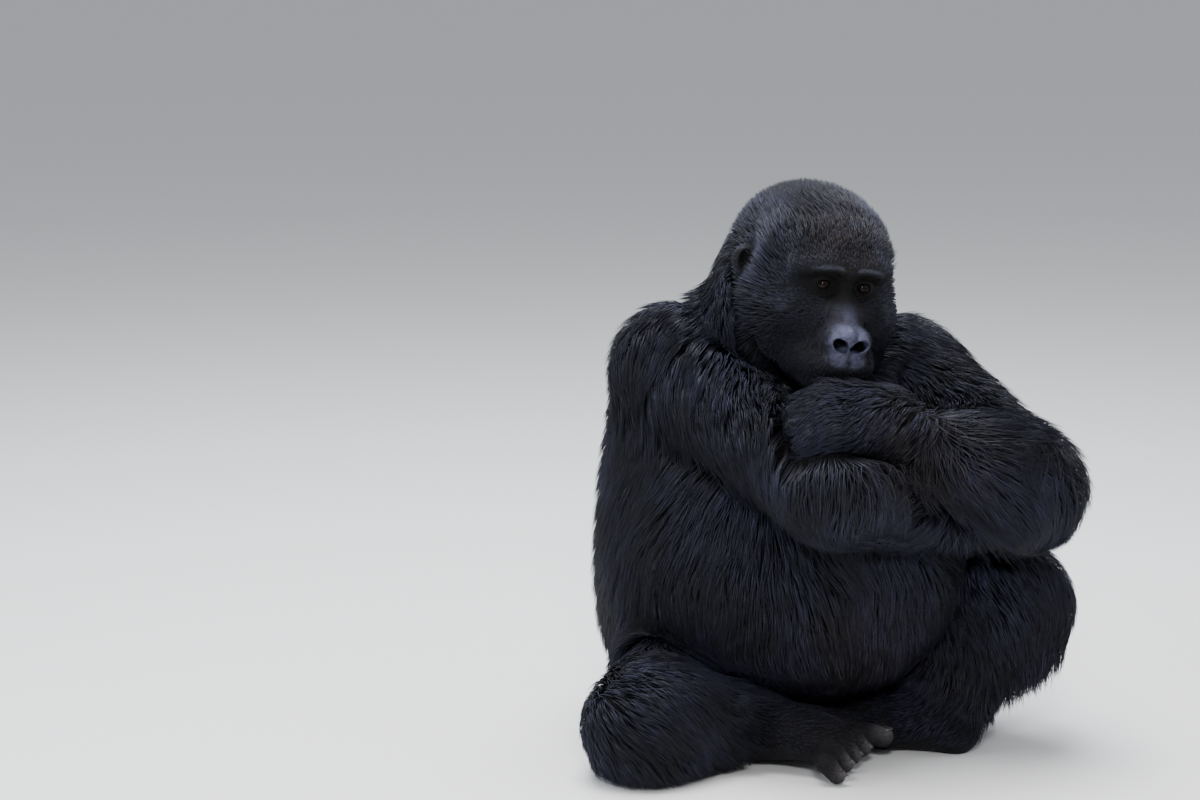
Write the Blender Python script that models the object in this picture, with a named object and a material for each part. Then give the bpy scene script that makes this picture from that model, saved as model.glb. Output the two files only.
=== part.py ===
"""Sitting gorilla, life size, out to the tips of its coat.

Frame: origin on the floor under the middle of the seat, +Z up, the trunk faces -Y,
+X is the animal's left. All sizes are metres.
"""

import math

import bmesh
import bpy
from mathutils import Matrix, Vector

# ---------------------------------------------------------------- driving sizes
GAP = 0.0003                 # clearance left between touching pieces
CUTTER_GROWTH = 0.0004       # how far a cutter's faces are pushed out
DEGENERATE_EDGE = 0.000002   # edges shorter than this are cleaned away after a cut

# joints, as (x, y, z)
SHOULDER_RIGHT = (-0.160, -0.020, 0.502)
SHOULDER_LEFT = (0.165, -0.060, 0.465)
ELBOW_RIGHT = (-0.085, -0.312, 0.388)
ELBOW_LEFT = (0.184, -0.345, 0.370)
WRIST_RIGHT = (0.150, -0.262, 0.318)
WRIST_LEFT = (-0.010, -0.314, 0.465)
HIP_RIGHT = (-0.105, 0.000, 0.092)
HIP_LEFT = (0.105, 0.000, 0.115)
KNEE_RIGHT = (-0.296, -0.190, 0.074)
KNEE_LEFT = (0.234, -0.228, 0.185)
ANKLE_RIGHT = (-0.145, -0.188, 0.062)
ANKLE_LEFT = (0.112, -0.238, 0.055)

# head: its centre lies midway between the ears; turn, pitch and roll in degrees
HEAD_CENTRE = (-0.012, -0.132, 0.630)
HEAD_TURN = -8.0
HEAD_PITCH = 9.0
HEAD_ROLL = 8.0
EYE_RADIUS = 0.0118
EYE_FORWARD = 0.084
EYE_SIDE = 0.028
EYE_UP = 0.015

# head masses as (forward, side, up) of the head's centre with radii in the same order
SKULL = ((-0.028, 0.0, 0.020), (0.122, 0.112, 0.098))
CROWN = ((-0.045, 0.0, 0.043), (0.090, 0.090, 0.074))
FOREHEAD = ((0.043, 0.0, 0.047), (0.060, 0.078, 0.056))
FACE = ((0.050, 0.0, -0.005), (0.052, 0.070, 0.070))
MUZZLE = ((0.096, 0.0, -0.074), (0.056, 0.054, 0.040))
CHIN = ((0.112, 0.0, -0.107), (0.036, 0.040, 0.020))
JAW = ((0.066, 0.0, -0.098), (0.066, 0.062, 0.038))
THROAT = ((0.010, 0.0, -0.072), (0.074, 0.072, 0.056))
CHEEK = ((0.022, 0.060, -0.044), (0.066, 0.053, 0.084))
UNDER_EYE = ((0.073, 0.042, -0.024), (0.025, 0.027, 0.025))
NOSE_WING = ((0.131, 0.018, -0.046), (0.023, 0.018, 0.021))
LIP = ((0.122, 0.024, -0.076), (0.030, 0.026, 0.022))
BROW = ((0.096, 0.010, 0.042), (0.098, 0.032, 0.0475), (0.078, 0.060, 0.038))
BROW_RADII = (0.0125, 0.0125, 0.0120)
BRIDGE = ((0.082, 0.0, 0.020), (0.126, 0.0, -0.038))
NOSE_FLANK = ((0.091, 0.025, -0.030), (0.029, 0.023, 0.028))
BRIDGE_RADII = (0.015, 0.020)
NOSTRIL = ((0.153, 0.0125, -0.049), (0.010, 0.0080, 0.0062))
NOSTRIL_SLANT = 25.0
SOCKET_FORWARD = 0.104
SOCKET_RADII = (0.0170, 0.0165, 0.0080)
EAR = ((-0.010, 0.1040, 0.017), (0.016, 0.0130, 0.0235))
EAR_TURN = 30.0
EAR_BOWL = ((-0.003, 0.1185, 0.019), (0.009, 0.0070, 0.014))
HOLLOW_FINENESS = 2

# levels that divide the trunk
PELVIS_TOP = 0.165
BELLY_TOP = 0.325
CHEST_TOP = 0.520

# trunk masses: centre, radii, forward lean in degrees
RUMP = ((0.000, 0.020, 0.150), (0.240, 0.205, 0.165), 0.0)
BELLY = ((-0.006, -0.080, 0.232), (0.258, 0.225, 0.168), 12.0)
WAIST = ((-0.006, 0.002, 0.285), (0.224, 0.208, 0.160), 0.0)
RIBS = ((-0.014, -0.035, 0.372), (0.228, 0.205, 0.178), 10.0)
BACK = ((-0.005, 0.022, 0.422), (0.195, 0.160, 0.128), 0.0)
NECK = ((-0.004, -0.028, 0.490), (-0.024, -0.080, 0.604), 0.132, 0.108)

# limb girths: radius at the upper and at the lower end
UPPER_ARM_RIGHT = (0.095, 0.078)
FOREARM_RIGHT = (0.074, 0.047)
UPPER_ARM_LEFT = (0.096, 0.086)
FOREARM_LEFT = (0.088, 0.058)
THIGH_RIGHT = (0.100, 0.074)
SHIN_RIGHT = (0.073, 0.046)
THIGH_LEFT = (0.115, 0.090)
SHIN_LEFT = (0.086, 0.046)
DELTOID_RIGHT = (0.084, 0.088, 0.096)
DELTOID_LEFT = (0.084, 0.088, 0.092)

# hands
FINGER_RADII = (0.0165, 0.0145, 0.0125)
FINGER_LENGTHS = (0.040, 0.030, 0.020)
FINGER_CURLS = (40.0, 105.0, 170.0)
FINGER_PLACES = (-1.5, -0.5, 0.5, 1.5)
FINGER_SPACING = 0.0225
FINGER_TAPER = 0.92
PALM_RADII = (0.026, 0.0195)
PALM_NARROWING = 0.55
KNUCKLE_ARC = 0.055
WRIST_RADIUS = 0.034
WRIST_REACH = 0.020
THUMB_RADII = (0.0145, 0.0120)
THUMB_ROOT = (0.000, 0.030, -0.012)      # along, across and out of the back
THUMB_FIRST = (0.045, 0.012, 0.000)
THUMB_SECOND = (0.028, 0.000, -0.014)
HAND_RIGHT = {"wrist": WRIST_RIGHT, "along": (0.060, 0.040, 0.010),
              "back": (0.20, -0.30, 0.90), "palm": 0.060}
HAND_LEFT = {"wrist": WRIST_LEFT, "along": (-0.098, 0.026, 0.018),
             "back": (-0.10, -0.60, 0.80), "palm": 0.082}

# feet
HEEL_RADII = (0.034, 0.040)
INSTEP_RADII = (0.040, 0.026)
SOLE_RADII = (0.032, 0.026)
HALLUX_ROOT_RADII = (0.034, 0.024)
HALLUX_RADII = (0.0190, 0.0150)
TOE_ROOT_RADII = (0.026, 0.020)
TOE_BASE_RADII = (0.0180, 0.0150)
TOE_RADII = (0.0150, 0.0125)
TOE_ROOT_SHARE = 0.45
INSTEP_SHARE = 0.55
FOOT_RIGHT = {
    "heel": (-0.178, -0.168, 0.036), "ankle": ANKLE_RIGHT, "ball": (-0.062, -0.255, 0.040),
    "hallux": ((-0.020, -0.214, 0.042), (0.028, -0.256, 0.034)),
    "toes": ((-0.020, -0.256, 0.042), (-0.047, -0.278, 0.041),
             (-0.073, -0.301, 0.038), (-0.097, -0.322, 0.031)),
    "toe_way": (0.012, -0.009, -0.017),
}
FOOT_LEFT = {
    "heel": (0.140, -0.252, 0.031), "ankle": ANKLE_LEFT, "ball": (0.030, -0.176, 0.030),
    "hallux": ((0.050, -0.214, 0.030), (-0.002, -0.190, 0.024)),
    "toes": ((-0.006, -0.165, 0.026), (-0.004, -0.145, 0.025),
             (0.004, -0.125, 0.024), (0.016, -0.106, 0.023)),
    "toe_way": (-0.014, 0.008, -0.012),
}

# mesh fineness: remesh step, smoothing rounds, faces kept
TRUNK_MESH = (0.0080, 26, 820)
HEAD_MESH = (0.0026, 5, 1300)
LIMB_MESH = (0.0060, 16, 245)
HAND_MESH = (0.0028, 5, 325)
EAR_MESH = (0.0016, 2, 90)

COAT = ("coat", (0.022, 0.022, 0.026, 1.0), 0.90)
SKIN = ("skin", (0.055, 0.052, 0.060, 1.0), 0.55)
EYE = ("eye", (0.030, 0.014, 0.008, 1.0), 0.08)


# ---------------------------------------------------------------- small helpers
def clear_scene():
    """Remove whatever the scene starts with."""
    for old in list(bpy.data.objects):
        bpy.data.objects.remove(old, do_unlink=True)


def make_material(recipe):
    """Make one Principled material from a (name, colour, roughness) recipe."""
    name, colour, roughness = recipe
    material = bpy.data.materials.new(name)
    material.use_nodes = True
    shader = material.node_tree.nodes["Principled BSDF"]
    shader.inputs["Base Color"].default_value = colour
    shader.inputs["Roughness"].default_value = roughness
    return material


def turned(pitch=0.0, roll=0.0, turn=0.0):
    """Rotation: roll about Y first, then pitch about X, then turn about Z (degrees)."""
    spin = Matrix.Rotation(math.radians(turn), 4, "Z")
    tip = Matrix.Rotation(math.radians(pitch), 4, "X")
    bank = Matrix.Rotation(math.radians(roll), 4, "Y")
    return spin @ tip @ bank


HEAD_FRAME = Matrix.Translation(HEAD_CENTRE) @ turned(HEAD_PITCH, HEAD_ROLL, HEAD_TURN)


def in_head(forward, left, up):
    """Point given forward, left and up of the head's centre, in the world."""
    return HEAD_FRAME @ Vector((left, -forward, up))


def add_ellipsoid(bm, centre, radii, lean=None, fineness=4):
    """Add one ellipsoid; lean is a rotation matrix."""
    size = Matrix.Diagonal((*radii, 1.0))
    place = Matrix.Translation(centre) @ (lean or Matrix.Identity(4)) @ size
    bmesh.ops.create_icosphere(bm, subdivisions=fineness, radius=1.0, matrix=place)


def add_head_ellipsoid(bm, at, radii, lean=None, fineness=4):
    """Add an ellipsoid in head directions; radii are (forward, side, up)."""
    held = HEAD_FRAME.to_3x3().to_4x4() @ (lean or Matrix.Identity(4))
    add_ellipsoid(bm, in_head(*at), (radii[1], radii[0], radii[2]), held, fineness)


def add_limb(bm, start, end, start_radius, end_radius):
    """Add a tapered limb with round ends: one ball pulled apart along its axis."""
    start, end = Vector(start), Vector(end)
    length = (end - start).length
    axis = (end - start) / length
    border = (start_radius - end_radius) / length
    ball = bmesh.ops.create_icosphere(bm, subdivisions=4, radius=1.0)
    for vert in ball["verts"]:
        outward = vert.co.normalized()
        if outward.dot(axis) >= border:
            vert.co = end + outward * end_radius
        else:
            vert.co = start + outward * start_radius


def object_from(bm, name):
    """Turn a bmesh into a linked object."""
    bmesh.ops.recalc_face_normals(bm, faces=bm.faces)
    mesh = bpy.data.meshes.new(name)
    bm.to_mesh(mesh)
    bm.free()
    made = bpy.data.objects.new(name, mesh)
    bpy.context.scene.collection.objects.link(made)
    return made


def bake_modifiers(target):
    """Apply every modifier on an object."""
    graph = bpy.context.evaluated_depsgraph_get()
    graph.update()
    result = bpy.data.meshes.new_from_object(target.evaluated_get(graph))
    target.modifiers.clear()
    old = target.data
    target.data = result
    bpy.data.meshes.remove(old)


def fused(bm, name, fineness):
    """Melt overlapping masses into one smooth skin with a set number of faces."""
    step, rounds, faces = fineness
    made = object_from(bm, name)
    remesh = made.modifiers.new("melt", "REMESH")
    remesh.mode = "VOXEL"
    remesh.voxel_size = step
    smooth = made.modifiers.new("soften", "SMOOTH")
    smooth.factor = 0.5
    smooth.iterations = rounds
    bake_modifiers(made)
    thin = made.modifiers.new("thin", "DECIMATE")
    thin.ratio = faces / (2.0 * len(made.data.polygons))
    thin.use_collapse_triangulate = True
    bake_modifiers(made)
    return made


def grown(source, distance):
    """Copy of an object with its faces pushed outward."""
    copy = bpy.data.objects.new(source.name + "_cutter", source.data.copy())
    bpy.context.scene.collection.objects.link(copy)
    swell = copy.modifiers.new("swell", "DISPLACE")
    swell.strength = distance
    swell.mid_level = 0.0
    bake_modifiers(copy)
    return copy


def subtract(target, cutters):
    """Take grown copies of the cutters out of the target."""
    for cutter in cutters:
        bigger = grown(cutter, CUTTER_GROWTH)
        cut = target.modifiers.new("cut", "BOOLEAN")
        cut.operation = "DIFFERENCE"
        cut.solver = "EXACT"
        cut.object = bigger
        bake_modifiers(target)
        bpy.data.objects.remove(bigger, do_unlink=True)
    keep_largest(target)


def keep_largest(target):
    """Keep only the largest closed body of a mesh, cleaned and made of triangles."""
    bm = bmesh.new()
    bm.from_mesh(target.data)
    bmesh.ops.dissolve_degenerate(bm, edges=bm.edges, dist=DEGENERATE_EDGE)
    bmesh.ops.triangulate(bm, faces=bm.faces)
    islands = face_islands(bm)
    islands.sort(key=island_volume, reverse=True)
    for island in islands[1:]:
        bmesh.ops.delete(bm, geom=island, context="FACES")
    loose = [vert for vert in bm.verts if not vert.link_faces]
    bmesh.ops.delete(bm, geom=loose, context="VERTS")
    bmesh.ops.recalc_face_normals(bm, faces=bm.faces)
    bm.to_mesh(target.data)
    bm.free()


def face_islands(bm):
    """List the connected groups of faces."""
    unseen = set(bm.faces)
    islands = []
    while unseen:
        front = [unseen.pop()]
        island = []
        while front:
            face = front.pop()
            island.append(face)
            for edge in face.edges:
                for other in edge.link_faces:
                    if other in unseen:
                        unseen.remove(other)
                        front.append(other)
        islands.append(island)
    return islands


def island_volume(faces):
    """Volume enclosed by a group of triangles."""
    total = 0.0
    for face in faces:
        a, b, c = (vert.co for vert in face.verts)
        total += a.dot(b.cross(c)) / 6.0
    return abs(total)


def keep_side(bm, point, normal):
    """Cut a closed bmesh by a plane, keep the side the normal points to and cap it."""
    everything = list(bm.verts) + list(bm.edges) + list(bm.faces)
    cut = bmesh.ops.bisect_plane(
        bm, geom=everything, plane_co=point, plane_no=normal, clear_inner=True
    )
    rim = [part for part in cut["geom_cut"] if isinstance(part, bmesh.types.BMEdge)]
    open_rim = [edge for edge in rim if edge.is_valid and edge.is_boundary]
    bmesh.ops.triangle_fill(bm, use_beauty=True, edges=open_rim, normal=-Vector(normal))


def piece(source, name, planes):
    """Part of a source object on the kept side of each (point, normal) plane."""
    bm = bmesh.new()
    bm.from_mesh(source.data)
    for point, normal in planes:
        direction = Vector(normal).normalized()
        keep_side(bm, Vector(point) + direction * GAP / 2.0, direction)
    made = object_from(bm, name)
    keep_largest(made)
    return made


def joint_plane(before, joint, after):
    """Plane through a joint, square to the way the limb passes through it."""
    incoming = (Vector(joint) - Vector(before)).normalized()
    outgoing = (Vector(after) - Vector(joint)).normalized()
    return Vector(joint), (incoming + outgoing).normalized()


def flipped(plane):
    """The same plane seen from its other side."""
    return plane[0], -plane[1]


FLOOR = (Vector((0.0, 0.0, -GAP / 2.0)), Vector((0.0, 0.0, 1.0)))


# ---------------------------------------------------------------- trunk
def make_trunk():
    """Rump, belly, ribs, back and neck melted together."""
    bm = bmesh.new()
    for centre, radii, lean in (RUMP, BELLY, WAIST, RIBS, BACK):
        add_ellipsoid(bm, centre, radii, turned(pitch=lean))
    add_limb(bm, *NECK)
    return fused(bm, "trunk", TRUNK_MESH)


def level(height, up):
    """Level plane at a height, keeping what is above or below it."""
    return Vector((0.0, 0.0, height)), Vector((0.0, 0.0, 1.0 if up else -1.0))


# ---------------------------------------------------------------- head
def mirrored(at, side):
    """A head place moved to one side of the midline."""
    return at[0], side * at[1], at[2]


def make_head():
    """Skull, crown, face, brow, cheeks, muzzle, nose and jaw melted together."""
    bm = bmesh.new()
    for at, radii in (SKULL, CROWN, FOREHEAD, FACE, MUZZLE, CHIN, JAW, THROAT):
        add_head_ellipsoid(bm, at, radii)
    for side in (-1.0, 1.0):
        for at, radii in (CHEEK, UNDER_EYE, NOSE_FLANK, NOSE_WING, LIP):
            add_head_ellipsoid(bm, mirrored(at, side), radii)
        inner, middle, outer = (in_head(*mirrored(at, side)) for at in BROW)
        add_limb(bm, inner, middle, *BROW_RADII[:2])
        add_limb(bm, middle, outer, *BROW_RADII[1:])
    add_limb(bm, in_head(*BRIDGE[0]), in_head(*BRIDGE[1]), *BRIDGE_RADII)
    head = fused(bm, "head", HEAD_MESH)
    hollows = bmesh.new()
    for side in (-1.0, 1.0):
        at, radii = NOSTRIL
        add_head_ellipsoid(hollows, mirrored(at, side), radii,
                           turned(roll=side * NOSTRIL_SLANT), HOLLOW_FINENESS)
        add_head_ellipsoid(hollows, (SOCKET_FORWARD, side * EYE_SIDE, EYE_UP), SOCKET_RADII,
                           fineness=HOLLOW_FINENESS)
    subtract(head, [object_from(hollows, "nostrils_and_sockets")])
    return head


def make_eye(name, side):
    """One eyeball."""
    bm = bmesh.new()
    centre = in_head(EYE_FORWARD, side * EYE_SIDE, EYE_UP)
    add_ellipsoid(bm, centre, (EYE_RADIUS,) * 3, fineness=HOLLOW_FINENESS)
    return object_from(bm, name)


def make_ear(name, side, head):
    """One small ear: a disc with a hollow, standing out of the hair."""
    bm = bmesh.new()
    at, radii = EAR
    add_head_ellipsoid(bm, mirrored(at, side), radii, turned(turn=side * EAR_TURN))
    ear = fused(bm, name, EAR_MESH)
    bowl = bmesh.new()
    at, radii = EAR_BOWL
    add_head_ellipsoid(bowl, mirrored(at, side), radii, fineness=HOLLOW_FINENESS)
    subtract(ear, [object_from(bowl, name + "_bowl")])
    subtract(ear, [head])
    return ear


# ---------------------------------------------------------------- limbs
def make_limb(name, joints, upper, lower, shoulder=None):
    """Upper and lower limb melted together, with a shoulder mass if given."""
    bm = bmesh.new()
    start, middle, end = joints
    if shoulder:
        add_ellipsoid(bm, start, shoulder)
    add_limb(bm, start, middle, *upper)
    add_limb(bm, middle, end, *lower)
    return fused(bm, name, LIMB_MESH)


def hand_axes(along, back):
    """Unit directions of a hand: along the fingers, across it, out of its back."""
    forward = Vector(along).normalized()
    across = forward.cross(Vector(back)).normalized()
    outward = across.cross(forward).normalized()
    return forward, across, outward


def make_hand(name, wrist, along, back, palm):
    """Half-closed hand: palm, four curled fingers and a thumb."""
    axes = hand_axes(along, back)
    forward, across, outward = axes
    root = Vector(wrist)
    bm = bmesh.new()
    for place in FINGER_PLACES:
        spread = across * place * FINGER_SPACING
        joint = root + forward * palm * (1.0 - KNUCKLE_ARC * place * place) + spread
        add_limb(bm, root + spread * PALM_NARROWING, joint, *PALM_RADII)
        for length, radius, curl in zip(FINGER_LENGTHS, FINGER_RADII, FINGER_CURLS):
            bend = math.radians(curl)
            heading = forward * math.cos(bend) - outward * math.sin(bend)
            tip = joint + heading * length
            add_limb(bm, joint, tip, radius, radius * FINGER_TAPER)
            joint = tip
    reach = forward * WRIST_REACH
    add_limb(bm, root - reach, root + reach, WRIST_RADIUS, WRIST_RADIUS)
    thumb_root = root + moved(axes, THUMB_ROOT)
    thumb_middle = thumb_root + moved(axes, THUMB_FIRST)
    thumb_tip = thumb_middle + moved(axes, THUMB_SECOND)
    add_limb(bm, thumb_root, thumb_middle, THUMB_RADII[0], THUMB_RADII[0])
    add_limb(bm, thumb_middle, thumb_tip, *THUMB_RADII)
    return fused(bm, name, HAND_MESH)


def moved(axes, amounts):
    """Sum of three directions, each times its own amount."""
    total = Vector()
    for axis, amount in zip(axes, amounts):
        total += axis * amount
    return total


def make_foot(name, heel, ankle, ball, hallux, toes, toe_way):
    """Foot: heel, instep, ball, the big toe and four curled toes."""
    bm = bmesh.new()
    add_limb(bm, heel, ankle, *HEEL_RADII)
    add_limb(bm, ankle, ball, *INSTEP_RADII)
    add_limb(bm, heel, ball, *SOLE_RADII)
    add_limb(bm, ankle, hallux[0], *HALLUX_ROOT_RADII)
    add_limb(bm, hallux[0], hallux[1], *HALLUX_RADII)
    for knuckle in toes:
        root = Vector(ball).lerp(Vector(knuckle), TOE_ROOT_SHARE)
        tip = Vector(knuckle) + Vector(toe_way)
        add_limb(bm, Vector(ankle).lerp(root, INSTEP_SHARE), root, *TOE_ROOT_RADII)
        add_limb(bm, root, knuckle, *TOE_BASE_RADII)
        add_limb(bm, knuckle, tip, *TOE_RADII)
    return fused(bm, name, HAND_MESH)


# ---------------------------------------------------------------- the animal
def finish(target, name, material):
    """Name, colour and shade one finished node."""
    target.name = name
    target.data.name = name
    target.data.materials.clear()
    target.data.materials.append(material)
    for face in target.data.polygons:
        face.use_smooth = True
        face.material_index = 0


def build():
    """Build every node and leave nothing else in the scene."""
    clear_scene()
    coat, skin, eye = make_material(COAT), make_material(SKIN), make_material(EYE)

    head = make_head()
    eyes = [make_eye("eye_right", -1.0), make_eye("eye_left", 1.0)]
    ears = [make_ear("ear_right", -1.0, head), make_ear("ear_left", 1.0, head)]
    trunk = make_trunk()

    leg_right = make_limb("leg_right", (HIP_RIGHT, KNEE_RIGHT, ANKLE_RIGHT),
                          THIGH_RIGHT, SHIN_RIGHT)
    leg_left = make_limb("leg_left", (HIP_LEFT, KNEE_LEFT, ANKLE_LEFT),
                         THIGH_LEFT, SHIN_LEFT)
    foot_right = make_foot("whole_foot_right", **FOOT_RIGHT)
    foot_left = make_foot("whole_foot_left", **FOOT_LEFT)
    arm_right = make_limb("arm_right", (SHOULDER_RIGHT, ELBOW_RIGHT, WRIST_RIGHT),
                          UPPER_ARM_RIGHT, FOREARM_RIGHT, DELTOID_RIGHT)
    arm_left = make_limb("arm_left", (SHOULDER_LEFT, ELBOW_LEFT, WRIST_LEFT),
                         UPPER_ARM_LEFT, FOREARM_LEFT, DELTOID_LEFT)
    hand_right = make_hand("whole_hand_right", **HAND_RIGHT)
    hand_left = make_hand("whole_hand_left", **HAND_LEFT)

    made = []

    def add(target, name, material):
        finish(target, name, material)
        made.append(target)

    subtract(head, eyes)
    add(head, "head", coat)
    for ball in eyes:
        add(ball, ball.name, eye)
    for ear in ears:
        add(ear, ear.name, skin)

    subtract(trunk, [head] + ears)
    add(piece(trunk, "pelvis", [FLOOR, level(PELVIS_TOP, False)]), "pelvis", coat)
    add(piece(trunk, "belly", [level(PELVIS_TOP, True), level(BELLY_TOP, False)]),
        "belly", coat)
    add(piece(trunk, "chest", [level(BELLY_TOP, True), level(CHEST_TOP, False)]),
        "chest", coat)
    add(piece(trunk, "neck", [level(CHEST_TOP, True)]), "neck", coat)

    def add_part(source, name, planes, cutters, material):
        part = piece(source, name + "_raw", planes)
        subtract(part, cutters)
        add(part, name, material)

    core = [trunk, head] + ears
    for side, leg, foot, joints, others in (
        ("right", leg_right, foot_right, (HIP_RIGHT, KNEE_RIGHT, ANKLE_RIGHT), []),
        ("left", leg_left, foot_left, (HIP_LEFT, KNEE_LEFT, ANKLE_LEFT),
         [leg_right, foot_right]),
    ):
        knee = joint_plane(*joints)
        add_part(foot, "foot_" + side, [FLOOR], core + others, skin)
        add_part(leg, "thigh_" + side, [FLOOR, flipped(knee)], core + others + [foot], coat)
        add_part(leg, "shin_" + side, [FLOOR, knee], core + others + [foot], coat)

    legs = [leg_right, leg_left, foot_right, foot_left]
    for side, arm, hand, joints, others in (
        ("right", arm_right, hand_right, (SHOULDER_RIGHT, ELBOW_RIGHT, WRIST_RIGHT), []),
        ("left", arm_left, hand_left, (SHOULDER_LEFT, ELBOW_LEFT, WRIST_LEFT),
         [arm_right, hand_right]),
    ):
        elbow = joint_plane(*joints)
        add_part(hand, "hand_" + side, [], core + legs + others, skin)
        add_part(arm, "upper_arm_" + side, [flipped(elbow)],
                 core + legs + others + [hand], coat)
        add_part(arm, "forearm_" + side, [elbow], core + legs + others + [hand], coat)

    for item in list(bpy.data.objects):
        if item not in made:
            bpy.data.objects.remove(item, do_unlink=True)


build()
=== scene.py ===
"""Looks of a sitting gorilla: one skin, eyes, nails and a coat of mesh tufts.

Sizes are metres in the model's own frame: +Z up, the trunk faces -Y, +X is the
animal's left. The skin is the zero level of smooth masses; the coat grows on it.
"""

import logging
import math
from collections.abc import Iterable, Sequence
from dataclasses import astuple, dataclass, field
from enum import Enum

import bpy
import numpy as np
from mathutils import Matrix, Vector


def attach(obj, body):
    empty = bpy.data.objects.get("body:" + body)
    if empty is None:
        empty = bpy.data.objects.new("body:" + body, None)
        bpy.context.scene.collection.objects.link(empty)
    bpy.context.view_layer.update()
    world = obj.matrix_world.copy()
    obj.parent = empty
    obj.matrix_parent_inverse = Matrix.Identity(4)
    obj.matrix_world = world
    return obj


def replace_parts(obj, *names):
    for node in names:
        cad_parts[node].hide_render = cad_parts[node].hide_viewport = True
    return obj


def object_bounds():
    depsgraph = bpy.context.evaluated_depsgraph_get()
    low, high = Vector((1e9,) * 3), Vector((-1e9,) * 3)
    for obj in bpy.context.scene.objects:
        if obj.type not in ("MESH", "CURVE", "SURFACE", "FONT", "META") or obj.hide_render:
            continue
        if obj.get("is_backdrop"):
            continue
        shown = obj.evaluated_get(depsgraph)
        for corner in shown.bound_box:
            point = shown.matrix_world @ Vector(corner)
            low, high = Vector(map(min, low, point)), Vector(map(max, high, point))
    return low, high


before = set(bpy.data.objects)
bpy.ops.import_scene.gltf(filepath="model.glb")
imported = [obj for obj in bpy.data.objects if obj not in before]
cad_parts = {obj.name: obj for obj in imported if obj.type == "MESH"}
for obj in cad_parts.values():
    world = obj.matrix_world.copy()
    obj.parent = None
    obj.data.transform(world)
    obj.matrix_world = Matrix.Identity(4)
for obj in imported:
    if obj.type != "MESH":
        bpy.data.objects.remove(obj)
CAD_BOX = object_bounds()

LOG = logging.getLogger("gorilla")
Array = np.ndarray
Piece, Mesh, Material = bpy.types.Object, bpy.types.Mesh, bpy.types.Material
Tree, Socket = bpy.types.NodeTree, bpy.types.NodeSocket
Point = tuple[float, float, float]
Colour = tuple[float, float, float, float]
FLOAT = np.float32
SEED = 20417
FAR = 0.3  # stands for any distance too large to matter
OTHER_LIMB = 9.0  # gap given to flesh that a point doesn't belong to
PATCH = 0.003  # side of each tuft's patch on the unwrap
SKIN_FLOOR, HAIR_FLOOR = 0.0004, 0.0022  # lowest heights of skin and hair
ROOT_SINK = 0.0012  # how far under the skin a tuft starts
TUFT_POINTS = 7
TRUNK_AXIS = (-0.010, -0.045)  # x and y of the upright line inside the trunk
DOWN: Point = (0.0, 0.0, -1.0)
NO_LIE: Point = (0.0, 0.0, 0.0)

# joints of the sitting body
SHOULDER_RIGHT: Point = (-0.160, -0.020, 0.502)
SHOULDER_LEFT: Point = (0.165, -0.060, 0.465)
ELBOW_RIGHT: Point = (-0.085, -0.312, 0.388)
ELBOW_LEFT: Point = (0.184, -0.345, 0.370)
WRIST_RIGHT: Point = (0.150, -0.262, 0.318)
WRIST_LEFT: Point = (-0.010, -0.314, 0.465)
HIP_RIGHT: Point = (-0.105, 0.000, 0.092)
HIP_LEFT: Point = (0.105, 0.000, 0.115)
KNEE_RIGHT: Point = (-0.296, -0.190, 0.074)
KNEE_LEFT: Point = (0.234, -0.228, 0.185)
ANKLE_RIGHT: Point = (-0.145, -0.188, 0.062)
ANKLE_LEFT: Point = (0.112, -0.238, 0.055)

# head
HEAD_CENTRE: Point = (-0.012, -0.132, 0.630)
HEAD_TURN, HEAD_PITCH, HEAD_ROLL = -8.0, 9.0, 8.0
EYE_RADIUS, LID = 0.0118, 0.0024
EYE_PLACE: Point = (0.084, 0.028, 0.015)

FLESH_NODES: tuple[str, ...] = (
    "head", "neck", "chest", "belly", "pelvis", "ear_right", "ear_left",
    "upper_arm_right", "forearm_right", "hand_right",
    "upper_arm_left", "forearm_left", "hand_left",
    "thigh_right", "shin_right", "foot_right",
    "thigh_left", "shin_left", "foot_left",
)


class Limb(Enum):
    """Bodies of flesh that may press on each other but never melt together."""

    TRUNK = "trunk"
    ARM_RIGHT = "arm_right"
    ARM_LEFT = "arm_left"
    LEG_RIGHT = "leg_right"
    LEG_LEFT = "leg_left"


LIMB_ORDER: dict[Limb, int] = {limb: order for order, limb in enumerate(Limb)}


def on_limbs(limb: Array, *wanted: Limb) -> Array:
    """Which of the limb numbers belong to the limbs wanted."""
    return np.isin(limb, [LIMB_ORDER[each] for each in wanted])


class Region(Enum):
    """Places on the body with a hair of their own."""

    HEAD = "head"
    FACE = "face"
    NAPE = "nape"
    BACK = "back"
    BELLY = "belly"
    SHOULDER = "shoulder"
    UPPER_ARM = "upper_arm"
    FOREARM = "forearm"
    HAND = "hand"
    DIGIT = "digit"
    THIGH = "thigh"
    SHIN = "shin"
    FOOT = "foot"
    TOE = "toe"


@dataclass(frozen=True)
class Growth:
    """How the hair of one region grows: metres, tufts per square metre, and sag."""

    depth: float
    length: float
    width: float
    density: float
    clump: float
    gravity: float


DEPTH, LENGTH, WIDTH, DENSITY, CLUMP = range(5)  # columns of rows of growth numbers

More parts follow.
